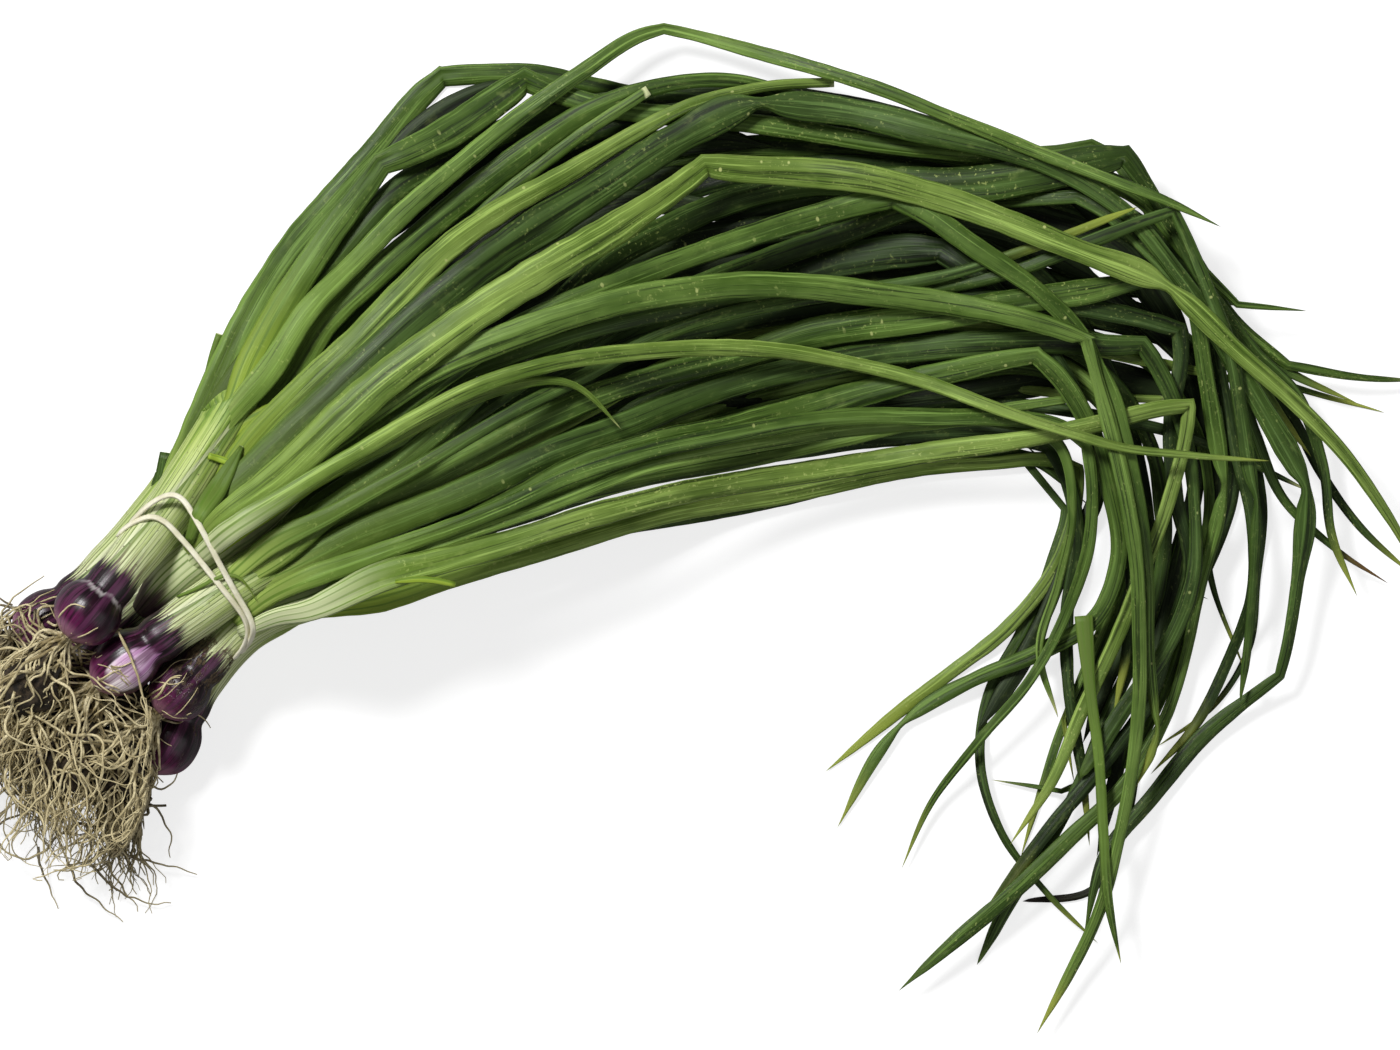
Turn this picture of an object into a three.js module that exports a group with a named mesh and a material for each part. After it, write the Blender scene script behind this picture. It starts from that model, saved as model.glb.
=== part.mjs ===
// Bunch of red spring onions lying on a table: six onions, their root tufts, their long hollow
// leaves and the rubber band wound twice round the stems. Millimetres, +Z up, +X along the bunch
// from the bulbs to the leaf tips, +Y towards the side the leaves arch to.
import * as THREE from 'three';

// ---- driving dimensions (mm) -------------------------------------------------------------------
const GAP = 0.35;                 // clear space left between neighbouring pieces
const CELL = 0.5;                  // cell of the height map the pieces are laid on
const SAMPLE = 0.4;               // spacing of the points tested on a piece while it is laid
const BED = { x0: -275, x1: 275, y0: -200, y1: 200 };   // plan area covered by the height map

const LEAF_SIDES = 6;             // corners of a leaf section
const LEAF_STEP = 25;             // usual distance between two leaf sections
const LEAF_BEND_RADIUS = 130;     // tightest arch a leaf makes over what it lies on
const LEAF_BASE_WIDTH = 6.2;      // where a leaf leaves its stem
const LEAF_BASE_PITCH = 5.2;      // side by side spacing of leaf bases on one stem
const LEAF_ROW_HEIGHT = 4.4;      // rise from one row of leaf bases to the next
const LEAF_BASE_REACH = 2.6;      // from the end of the stem to the first leaf section
const KINK = 1;                   // marks a point where a leaf is bent over and pinched
const KINK_WIDTH = 0.5;           // share of the width left at a kink
const KINK_RISE = 1.25;           // share of the thickness at a kink
const KINK_REACH = 7;             // length of leaf drawn in on each side of a kink

const STEM_SIDES = 12;
const STEM_RADIUS = 7.6;
const STEM_BEND_RADIUS = 80;
const STEM_STEP = 13;
const STEM_UNDER = 3.6;           // room the rubber band takes between a stem and the table
const ROOT_SIDES = 8;
const ROOT_BEND_RADIUS = 60;

const BAND_WIDTH = 3;             // flat rubber band
const BAND_THICKNESS = 1;
const BAND_SPREAD = 7.5;          // distance between the two turns where they lie furthest apart
const BAND_LIFT = 1;              // one turn rides this far over the other where they cross
const BAND_STEPS = 60;            // sections along the two turns

// Half thickness of a flattened hollow leaf of a given width.
const leafHalfThickness = (width) => 0.45 + 0.14 * width;

// ---- height map: how high the pile already is at each place on the table ------------------------
const bedColumns = Math.ceil((BED.x1 - BED.x0) / CELL);
const bedRows = Math.ceil((BED.y1 - BED.y0) / CELL);
const bed = new Float32Array(bedColumns * bedRows);

function bedCell(x, y) {
  return [Math.floor((x - BED.x0) / CELL), Math.floor((y - BED.y0) / CELL)];
}

// Highest point of the pile in the cell at x, y and in the cells round it.
function pileTop(x, y) {
  const [column, row] = bedCell(x, y);
  let top = 0;
  for (let r = row - 1; r <= row + 1; r += 1) {
    for (let c = column - 1; c <= column + 1; c += 1) {
      top = Math.max(top, bed[r * bedColumns + c]);
    }
  }
  return top;
}

function raisePile(x, y, z) {
  const [column, row] = bedCell(x, y);
  const cell = row * bedColumns + column;
  bed[cell] = Math.max(bed[cell], z);
}

// ---- sections -----------------------------------------------------------------------------------
// A section is an upright ellipse: centre x, y, z, side direction nx, ny, half width a and half
// height b, held at least `under` above the table. Every long piece is a run of such sections.
const section = (x, y, nx, ny, a, b, under = 0) => ({ x, y, z: 0, nx, ny, a, b, under });

// Visits points spread over a run of sections: plan position, share of the way from section i to
// section i + 1, and half height of the piece above that point.
function visit(sections, spacing, act) {
  for (let i = 0; i + 1 < sections.length; i += 1) {
    const p = sections[i];
    const q = sections[i + 1];
    const along = Math.max(1, Math.ceil(Math.hypot(q.x - p.x, q.y - p.y) / spacing));
    const across = Math.max(2, Math.ceil(2 * Math.max(p.a, q.a) / spacing));
    for (let j = 0; j <= along; j += 1) {
      const u = j / along;
      for (let k = 0; k <= across; k += 1) {
        const v = -1 + 2 * k / across;
        const x = (1 - u) * (p.x + v * p.a * p.nx) + u * (q.x + v * q.a * q.nx);
        const y = (1 - u) * (p.y + v * p.a * p.ny) + u * (q.y + v * q.a * q.ny);
        const half = ((1 - u) * p.b + u * q.b) * Math.sqrt(Math.max(0, 1 - v * v));
        act(i, u, x, y, half);
      }
    }
  }
}

// Heights the run of sections needs so that it clears the pile, as a list per pair of sections.
function clearances(sections, foot) {
  const lists = sections.slice(1).map(() => new Map());
  visit(sections, SAMPLE, (i, u, x, y, half) => {
    const p = sections[i];
    const q = sections[i + 1];
    const top = pileTop(x, y);
    const own = ((1 - u) * p.b + u * q.b) * foot + (1 - u) * p.under + u * q.under;
    const need = top > 0 ? Math.max(own, top + GAP + half) : own;
    lists[i].set(u, Math.max(lists[i].get(u) ?? 0, need));
  });
  return lists.map((list) => [...list.entries()]);
}

// Heights that keep every pair of neighbouring sections clear of the pile: each section takes the
// needs of its own half of the way, then the lower of the two is raised where the line between
// them still dips too low.
function clearHeights(lists, z) {
  lists.forEach((list, i) => {
    for (const [u, need] of list) {
      const nearest = u < 0.5 ? i : i + 1;
      z[nearest] = Math.max(z[nearest], need);
    }
  });
  lists.forEach((list, i) => {
    for (const [u, need] of list) {
      const short = need - ((1 - u) * z[i] + u * z[i + 1]);
      if (short > 0 && z[i] < z[i + 1]) z[i] += short / (1 - u);
      else if (short > 0) z[i + 1] += short / u;
    }
  });
}

// Raises heights until no rise or dip is bent more tightly than bendRadius.
function easeHeights(along, z, bendRadius) {
  const arched = z.map((_, i) => Math.max(
    ...z.map((height, j) => height - (along[i] - along[j]) ** 2 / (2 * bendRadius))));
  const ROUNDS = 300;
  for (let round = 0; round < ROUNDS; round += 1) {
    for (let i = 1; i + 1 < z.length; i += 1) {
      const before = along[i] - along[i - 1];
      const after = along[i + 1] - along[i];
      const chord = (arched[i - 1] * after + arched[i + 1] * before) / (before + after);
      arched[i] = Math.max(arched[i], chord - before * after / (2 * bendRadius));
    }
  }
  return arched;
}

// Lays a run of sections on the pile: it clears everything below it and is never bent more
// tightly than bendRadius. startHeight keeps the first section at the height of what it grows from.
function lay(sections, sides, bendRadius, startHeight) {
  const foot = Math.cos(Math.PI / sides);
  const low = sections.map((s) => s.b * foot + s.under);
  low[0] = Math.max(low[0], startHeight);
  clearHeights(clearances(sections, foot), low);
  const along = [0];
  for (let i = 1; i < sections.length; i += 1) {
    const p = sections[i - 1];
    const q = sections[i];
    along.push(along[i - 1] + Math.hypot(q.x - p.x, q.y - p.y));
  }
  const z = easeHeights(along, low, bendRadius);
  sections.forEach((s, i) => {
    s.z = z[i];
  });
  visit(sections, SAMPLE, (i, u, x, y, half) => {
    raisePile(x, y, (1 - u) * z[i] + u * z[i + 1] + half);
  });
  return sections;
}

// ---- plan paths ---------------------------------------------------------------------------------
// Smooth run through plan points [x, y, width, mark]; a point marked KINK ends one smooth stretch
// and starts the next, and is pinched.
function planSections(points, step, halfHeight) {
  const stretches = [[points[0]]];
  for (const point of points.slice(1)) {
    stretches.at(-1).push(point);
    if (point[3] === KINK) stretches.push([point]);
  }
  const sections = [];
  const directions = [];
  for (const stretch of stretches.filter((s) => s.length > 1)) {
    const curve = new THREE.CatmullRomCurve3(
      stretch.map(([x, y, width]) => new THREE.Vector3(x, y, width)), false, 'centripetal');
    const plain = new THREE.CatmullRomCurve3(
      stretch.map(([x, y]) => new THREE.Vector3(x, y, 0)), false, 'centripetal');
    const length = plain.getLength();
    const stations = stretchStations(length, step, stretch[0][3] === KINK,
      stretch.at(-1)[3] === KINK);
    for (const station of stations) {
      const t = plain.getUtoTmapping(Math.min(1, station / length));
      const at = curve.getPoint(t);
      const heading = plain.getTangent(t);
      const joins = sections.length > 0 && station === 0;
      if (joins) {
        const previous = directions.at(-1);
        heading.add(previous).normalize();
        sections.pop();
        directions.pop();
      }
      const pinch = (station === 0 && stretch[0][3] === KINK)
        || (station === length && stretch.at(-1)[3] === KINK);
      const width = at.z * (pinch ? KINK_WIDTH : 1);
      const height = halfHeight(at.z) * (pinch ? KINK_RISE : 1);
      sections.push(section(at.x, at.y, -heading.y, heading.x, width / 2, height));
      directions.push(heading);
    }
  }
  return sections;
}

// Distances along one stretch at which a section is set, closer at a pinched end.
function stretchStations(length, step, startKink, endKink) {
  const from = startKink ? Math.min(KINK_REACH, length / 3) : 0;
  const to = length - (endKink ? Math.min(KINK_REACH, length / 3) : 0);
  const count = Math.max(1, Math.round((to - from) / step));
  const stations = [0];
  if (from > 0) stations.push(from);
  for (let i = 1; i <= count; i += 1) {
    stations.push(from + (to - from) * i / count);
  }
  if (to < length) stations.push(length);
  return stations;
}

// ---- solids -------------------------------------------------------------------------------------
const group = new THREE.Group();
group.name = 'spring_onion_bunch';

function add(name, geometry, color) {
  const mesh = new THREE.Mesh(geometry, new THREE.MeshStandardMaterial({ color }));
  mesh.name = name;
  group.add(mesh);
  return mesh;
}

// Turns a cylinder into the solid that runs through the sections, closed at both ends.
function solidThrough(sections, sides) {
  const steps = sections.length - 1;
  const geometry = new THREE.CylinderGeometry(1, 1, 1, sides, steps);
  const position = geometry.attributes.position;
  const twist = Math.PI / sides;   // puts a flat underneath instead of an edge
  for (let i = 0; i < position.count; i += 1) {
    const s = sections[Math.round((0.5 - position.getY(i)) * steps)];
    const reach = Math.hypot(position.getX(i), position.getZ(i));
    const angle = Math.atan2(position.getZ(i), position.getX(i)) + twist;
    const side = reach * Math.cos(angle) * s.a;
    const rise = reach * Math.sin(angle) * s.b;
    position.setXYZ(i, s.x + side * s.nx, s.y + side * s.ny, s.z + rise);
  }
  geometry.computeVertexNormals();
  return geometry;
}

// ---- onions -------------------------------------------------------------------------------------
// Radius along an onion from the root plate: [distance, share of the bulb or stem radius].
const BULB_PROFILE = [[0, 0.3], [1.5, 0.58], [5, 0.86], [10, 0.99], [14.5, 1], [19.5, 0.88], [24.5, 0.74]];
const NECK_START = 31;            // distance from the root plate at which the plain stem begins

// path: plan points of the axis from the root plate to the end of the stem.
const ONIONS = {
  6: { bulb: 10.2, path: [[-240, -38], [-229, -32], [-217, -23.5], [-206, -13], [-196, -2], [-187, 9],
    [-179, 20]] },
  5: { bulb: 11, path: [[-193, -85], [-187, -76], [-180.5, -63], [-173, -50], [-164.5, -40],
    [-156, -32.5], [-148, -28]] },
  4: { bulb: 10.8, path: [[-188.5, -64], [-181.5, -57], [-174, -48.5], [-166, -40], [-157.5, -32.5],
    [-148, -27.5], [-139, -24.5]] },
  2: { bulb: 9.4, path: [[-225.5, -57.5], [-217, -48], [-205, -35.5], [-193, -24.5], [-184, -16], [-176, -8],
    [-168, 0]] },
  1: { bulb: 12, path: [[-218.5, -37.5], [-209.5, -27], [-200.5, -16], [-194, -7.5], [-186, 3], [-179, 14],
    [-172, 25], [-167, 33]] },
  3: { bulb: 10.6, path: [[-209.5, -54.5], [-199, -46.5], [-187.5, -38.5], [-178, -32], [-168, -25],
    [-158, -18], [-149, -12.5]] },
};

// ---- root tufts ---------------------------------------------------------------------------------
// path: [x, y, width] from the root plate outwards.
const TUFTS = {
  6: [[-243.5, -40.5, 7], [-247, -46, 15], [-248, -56, 20], [-247, -68, 18], [-246, -80, 8]],
  2: [[-229, -60.5, 7], [-231, -65, 17], [-234, -76, 22], [-233, -90, 18], [-231, -104, 7]],
  5: [[-196, -88.5, 6], [-200, -93, 13], [-203, -102, 15], [-202, -112, 12], [-200, -124, 5]],
  4: [[-191.5, -67.5, 7], [-196.5, -72.5, 17], [-204, -82, 22], [-206, -96, 20], [-209, -112, 7]],
  3: [[-212.5, -58, 7], [-217, -63, 18], [-220, -74, 24], [-222, -90, 20], [-222, -108, 7]],
  1: [[-222, -41, 7], [-226, -46, 16], [-233, -55, 22], [-239, -68, 20], [-242, -82, 7]],
};
const tuftHalfThickness = (width) => 1 + 0.2 * width;

// ---- leaves, from the bottom of the pile to the top ---------------------------------------------
// onion: the onion it grows on; side: -1 left, 0 middle or 1 right on the end of the stem.
// path: [x, y, width] along the leaf after its base, KINK where it is bent over.
const LEAVES = [
  { name: 'leaf_6a', onion: 6, side: -1, path: [[-160, 36, 7], [-140, 52, 8], [-120, 66, 8], [-100, 80, 8],
    [-80, 92, 8], [-60, 107, 8], [-40, 116.5, 8], [-20, 124.5, 8], [-4, 130, 8], [12, 133.3, 8],
    [30, 133.3, 8.5], [48, 132, 8], [66, 130, 7], [84, 128.5, 6], [102, 126, 5], [118, 120, 5],
    [132, 114, 4.5], [145, 105, 4], [156, 95, 4], [165, 86, 4], [173, 76, 4], [181, 66, 3.5], [189, 57, 3],
    [198, 51, 2.6], [207, 48.3, 2.4], [215, 47.3, 2.2], [223, 44.8, 1.8], [231, 42.3, 1.5],
    [240.5, 40, 0.9]] },
  { name: 'leaf_6b', onion: 6, side: 0, path: [[-160, 32, 6], [-140, 42, 7], [-118, 50, 7], [-96, 57, 9],
    [-78, 62, 9], [-62, 66, 9.5], [-45, 76, 9.5], [-30, 84, 9.5], [-15, 92, 9], [0, 99, 9], [15, 103.5, 9],
    [30, 105.5, 9], [45, 105.5, 8], [60, 104.5, 7], [78, 102, 7], [95, 97, 6.5], [112, 91.5, 6],
    [128, 87, 4], [140, 84, 4], [155, 82.3, 3.5], [170, 81, 3], [180, 80, 3], [188, 79, 2.8]] },
  { name: 'leaf_6c', onion: 6, side: 1, path: [[-160, 28, 6], [-140, 34, 7], [-118, 37, 7], [-96, 38.5, 9],
    [-76, 40, 9], [-56, 44, 9], [-32, 55, 9], [-8, 65, 9], [16, 71, 8], [40, 75, 8], [64, 77, 8],
    [88, 77.5, 7], [110, 76, 7], [130, 73, 5], [148, 70, 4.5], [162, 66, 4.5], [174, 61.5, 4.5],
    [184, 57.5, 4.5], [193, 53.5, 4.5], [202, 46.5, 4.5], [208, 37.5, 4.2], [213.5, 28, 3.8],
    [219, 18, 3.5], [224, 10, 3.3], [229.5, 3, 3], [235.5, -4, 2.8], [241, -8.8, 2.4], [246, -13, 2],
    [251, -18, 1]] },
  { name: 'leaf_6d', onion: 6, side: -1, path: [[-160, 38, 6], [-140, 56, 6], [-116, 72, 8], [-92, 83, 8],
    [-68, 91, 8], [-46, 103, 8], [-24, 112, 8], [0, 120, 8], [24, 125, 8], [48, 127, 8], [72, 126, 7],
    [96, 121.5, 7], [118, 115.5, 4.5], [136, 109, 4], [150, 102, 4], [163, 92, 4], [174, 80, 4],
    [183, 67, 4], [189, 53, 4], [192, 40, 4], [193.5, 28, 3.6], [195.5, 17, 3.2], [197.3, 8, 2.8],
    [198.6, 0, 2.8], [197.8, -7, 2.5], [196, -15, 2], [196.3, -24, 2.6], [195.6, -33, 2.6], [193, -42, 2.4],
    [189, -51, 2.2], [183.5, -59.5, 2], [177, -66, 1.9], [169.5, -70.5, 1.7], [164, -74, 1.4],
    [160.3, -77.3, 0.9]] },
  { name: 'leaf_6e', onion: 6, side: 1, path: [[-160, 30, 6], [-138, 38, 6], [-114, 43, 8], [-88, 47, 8],
    [-58, 53, 8], [-36, 64, 8], [-14, 75, 8], [8, 84, 8], [30, 90, 7.5], [52, 94, 7], [74, 95, 7],
    [96, 92, 6.5], [116, 86, 4.5], [134, 81, 4.5], [150, 78, 4.5], [162, 73.5, 4.5], [172, 65, 5],
    [179, 53, 5], [182.5, 40, 5], [185.5, 27, 5], [187, 15, 4.5], [185.8, 4, 4], [182.5, -6, 3.5],
    [179, -15, 2.4, KINK], [181.3, -25, 2.2], [184.8, -37, 1.9], [188, -45, 1.5], [191, -50, 0.9]] },
  { name: 'leaf_6f', onion: 6, side: 0, path: [[-160, 34, 5], [-138, 46, 5], [-112, 55, 7], [-84, 63, 7],
    [-58, 72, 7], [-34, 84, 7], [-10, 96, 7], [14, 107, 7], [38, 114, 7], [62, 115, 7], [86, 108, 7],
    [108, 97, 6.5], [126, 82, 4.5], [140, 62, 4], [150, 40, 4], [156, 15, 4], [159, -12, 4], [159, -38, 4],
    [157, -62, 3.5], [153, -85, 3.2], [149, -105, 3], [144, -119, 2.8], [137.5, -127.3, 2.6],
    [130.5, -129.2, 2.4], [124.5, -132, 2], [118.5, -131.2, 1.5], [113, -131.6, 2.9]] },
  { name: 'leaf_6g', onion: 6, side: -1, path: [[-176, 33, 7.5], [-171, 45, 8.5], [-164.5, 61, 9],
    [-157, 76, 9.5], [-148, 92, 9.5], [-137, 107, 9.5], [-125, 120.5, 9.5], [-112, 135, 9.5],
    [-102, 147, 9], [-96, 154, 8.5], [-91, 158.5, 7.5, KINK], [-80, 159.5, 7.5], [-68, 160, 7.5],
    [-56, 158.8, 7], [-46, 157, 6.5], [-37, 154.8, 6], [-28, 152.3, 6], [-15, 150.5, 6], [5, 150, 6],
    [25, 148.5, 6], [50, 144, 6], [75, 138, 6], [98, 133, 5.5], [118, 131, 5], [128, 132.3, 4.5],
    [137.3, 134.2, 4.5, KINK], [144, 130, 5], [151, 121, 5], [158, 110.5, 5], [166, 98.5, 5], [174, 86, 5],
    [182, 74, 5], [190, 61, 5], [197, 49, 5], [203, 38, 4], [209, 29, 2.6], [214.5, 24.5, 0.9]] },
  { name: 'leaf_6h', onion: 6, side: 0, path: [[-168, 42, 7], [-157, 58, 8], [-143, 76, 9], [-127, 92, 9.5],
    [-108, 107, 10], [-88, 121, 10], [-68, 134, 10], [-46, 144, 9], [-22, 150, 8.5], [2, 153, 8],
    [26, 152, 8], [50, 148, 8], [74, 142, 8], [96, 135, 7.5], [114, 126, 7], [130, 115, 6, KINK],
    [140, 108, 4.5], [150, 103.5, 3.4], [160, 100.5, 2.2], [168, 98.5, 0.9]] },
  { name: 'leaf_5a', onion: 5, side: 0, path: [[-126, -18, 6], [-103, -9, 6], [-80, 3, 6], [-55, 12, 6],
    [-30, 22.5, 6], [-5, 32, 6], [20, 39.5, 6], [45, 45, 5.5], [70, 48.5, 5], [88, 50.5, 4.5], [103, 50, 4],
    [118, 47.5, 3.6], [132, 46, 3.4], [147, 45.5, 3], [163, 44.8, 2.6]] },
  { name: 'leaf_5b', onion: 5, side: -1, path: [[-128, -16, 6], [-106, -3, 8], [-80, 13, 8], [-54, 24, 8],
    [-30, 34, 8], [-6, 43, 8], [18, 49.5, 8], [42, 54, 8], [66, 57.5, 7.5], [90, 60, 7], [112, 61, 7],
    [130, 58, 5], [144, 50, 4.5], [153, 39, 4.2], [158, 27, 4], [160.3, 14, 3.6], [160.4, 0, 3],
    [160.6, -12, 2.6], [162.5, -20.5, 2.6], [166.3, -28, 2.6], [171, -31.5, 2.3], [175, -30.3, 1.8],
    [178.5, -25.5, 0.9]] },
  { name: 'leaf_5c', onion: 5, side: 1, path: [[-126, -20, 5], [-104, -11, 5], [-78, 0.5, 5],
    [-52, 10.5, 5], [-28, 20, 5], [-4, 29.5, 5], [20, 36, 5], [44, 42, 5], [68, 47.5, 5], [90, 53.5, 5],
    [112, 56, 5], [128, 52, 5], [140, 43, 4.5], [148, 31, 4.5], [152.5, 17, 4], [153.5, 3, 4],
    [151.5, -11, 4], [147.5, -25, 4], [142.5, -38, 4], [137.5, -48, 3.8], [132.5, -57, 3.6],
    [128.5, -66, 3.4], [125, -76, 3.2], [122, -86, 3], [119.5, -94.5, 2.8], [116.5, -102.5, 2.4],
    [114.3, -109, 1.8], [112.8, -116, 0.9]] },
  { name: 'leaf_5d', onion: 5, side: 0, path: [[-128, -16, 5], [-104, -4, 5], [-78, 9, 5], [-52, 20, 5],
    [-26, 31, 5], [0, 40, 5], [26, 47, 5], [52, 53, 5], [78, 58, 5], [102, 62, 4.5], [122, 60, 4.5],
    [136, 51, 4.2], [145, 37, 4], [150.5, 21, 4], [151.5, 4, 4], [148.5, -13, 3.8], [143, -29, 3.6],
    [137.5, -43, 3.3], [133.5, -53, 2.8], [130, -61, 2.6], [127, -69, 2.5], [125.2, -77, 2.2],
    [125.3, -83.3, 1.8], [128, -87.3, 1.4], [131.4, -89.8, 0.8]] },
  { name: 'leaf_5e', onion: 5, side: 1, path: [[-126, -18, 5], [-102, -7, 5], [-76, 5.5, 5], [-50, 16, 5],
    [-24, 26, 5], [2, 36, 5], [28, 43, 5], [54, 48.5, 5], [80, 55.5, 5], [104, 64, 5], [128, 68, 5],
    [148, 63, 4.5], [163, 52, 4.5], [173, 36, 4], [178, 17, 4], [177, -4, 4], [173, -25, 4], [167, -46, 4],
    [159, -66, 3.8], [149, -82, 3.4], [138, -90.5, 3], [127, -92.8, 2.6], [118, -92.5, 2.2],
    [110, -91.2, 1.6], [102, -89.2, 0.8]] },
  { name: 'leaf_5f', onion: 5, side: -1, path: [[-128, -14, 6], [-104, 1, 6], [-78, 17, 7.5],
    [-52, 28.5, 7.5], [-26, 40, 7.5], [0, 50, 7.5], [26, 57.5, 7.5], [52, 63.5, 7.5], [78, 67.5, 7],
    [102, 68.5, 7], [124, 64, 5], [142, 53, 5], [154, 37, 5], [161, 18, 5], [163, -2, 5], [160, -22, 5],
    [154, -40, 5], [147, -57, 4.8], [140, -73, 4.6], [134, -88, 4.4], [128.5, -100, 4.2], [123, -110, 4],
    [117, -119, 4], [111, -128, 5.3], [105.5, -136.5, 4.7], [100.8, -146, 3.9], [97, -154, 2.5]] },
  { name: 'leaf_5g', onion: 5, side: 1, path: [[-126, -21, 5], [-102, -12, 5], [-76, -0.5, 5], [-50, 8, 5],
    [-24, 18.5, 5], [2, 28.5, 5], [28, 34.5, 5], [54, 38.5, 5], [80, 42, 5], [104, 43, 4.5], [126, 41, 4.5],
    [146, 37.5, 4.2], [162, 34, 4], [176, 29.5, 3.6], [186, 25, 3], [193.5, 21.8, 2.8], [200, 19.3, 2.3],
    [207, 16, 1.9], [215, 11.8, 0.9]] },
  { name: 'leaf_5h', onion: 5, side: -1, path: [[-130, -8, 6.5], [-112, 14, 8], [-96, 38, 9], [-80, 62, 10],
    [-62, 79, 11], [-40, 90, 11], [-18, 97, 10.5], [6, 101.5, 10.5], [30, 105, 10], [54, 107.5, 9.5],
    [78, 108, 9], [100, 105, 8.5], [120, 98, 8], [138, 87, 7.5, KINK], [150, 76, 6.5], [163, 65, 6],
    [175, 53, 5], [186, 41, 4], [193, 33, 2.8], [199, 25.5, 0.9]] },
  { name: 'leaf_4a', onion: 4, side: 1, path: [[-122, -24.5, 7], [-106, -19.5, 7], [-90, -14.5, 7],
    [-74, -10, 6], [-58, -5.5, 6], [-38, -1.5, 6], [-22, 1.5, 6], [-6, 4, 6], [12, 6.8, 6], [30, 11, 6],
    [46, 14.5, 6], [62, 19, 6], [78, 22.8, 5.5], [94, 25.2, 5.2], [108, 25.8, 5], [118, 23.8, 4.5],
    [125.5, 18.5, 4, KINK], [128.3, 10, 3.6], [127.3, 0, 3.6], [124.3, -9, 3.8], [119, -22, 4.2],
    [113.8, -35, 4.4], [108, -47, 4], [102.3, -57, 3.7], [98.9, -68, 3.5], [98, -80, 3.5], [99.3, -90, 3.5],
    [101.9, -100, 3.2], [106, -109, 2.9], [111.5, -117, 2.7], [118, -125, 2.4], [126, -133, 2.1],
    [134, -141, 1.7], [139.5, -146, 0.9]] },
  { name: 'leaf_4b', onion: 4, side: 1, path: [[-122, -27, 8], [-108, -23.5, 8], [-92, -18.8, 8],
    [-76, -14.3, 7.5], [-60, -9.6, 7], [-45, -5.2, 6.5], [-30, -0.6, 6], [-15, 2.6, 6], [0, 6, 6],
    [16, 9, 6], [32, 12, 6.5], [48, 15.3, 6.5], [62, 18.3, 6.5], [76, 20.8, 6], [90, 22.2, 5.5],
    [104, 22.6, 5], [118, 22.8, 5], [126.5, 22.4, 5], [132.3, 20, 5, KINK], [131.9, 11, 4.6], [130.3, 1, 5],
    [127.3, -8, 5], [123, -16.5, 5.2], [117.5, -25, 5.4], [110, -33, 5.4], [101.5, -41, 5.2], [91, -49, 5],
    [80, -57, 4.8], [69, -65.5, 4.4], [58, -74, 3.6], [50, -80.5, 2.4], [43.5, -86, 0.9]] },
  { name: 'leaf_4h', onion: 4, side: 0, path: [[-118, -14, 6], [-98, -7, 6.5], [-76, 1, 7], [-52, 9, 7.5],
    [-28, 15.5, 8], [-4, 21, 8], [20, 26, 8], [44, 29.5, 8], [66, 32, 7.5], [88, 33.5, 7], [108, 32.5, 6.5],
    [122, 28, 6, KINK], [129, 16, 5.5], [132, 2, 5.5], [131, -14, 5], [128.5, -30, 5], [128, -46, 4.6],
    [130, -64, 4.2], [133, -82, 3.6], [135.5, -98, 2.6], [136, -112, 0.9]] },
  { name: 'leaf_3a', onion: 3, side: 0, path: [[-130, -2, 6], [-112, 4, 6], [-94, 13, 6], [-70, 26, 6],
    [-45, 38, 6], [-20, 52, 6], [0, 62, 6], [20, 67, 6], [44, 70, 6], [66, 71, 5.5], [88, 71, 5],
    [108, 69.5, 5], [126, 66, 5], [142, 61, 4.5], [156, 58, 4], [169, 56, 4], [180, 53.5, 3.4],
    [189, 49.5, 2.6], [195, 45.5, 2], [200, 41, 1.5], [204, 37, 0.9]] },
];
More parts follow.
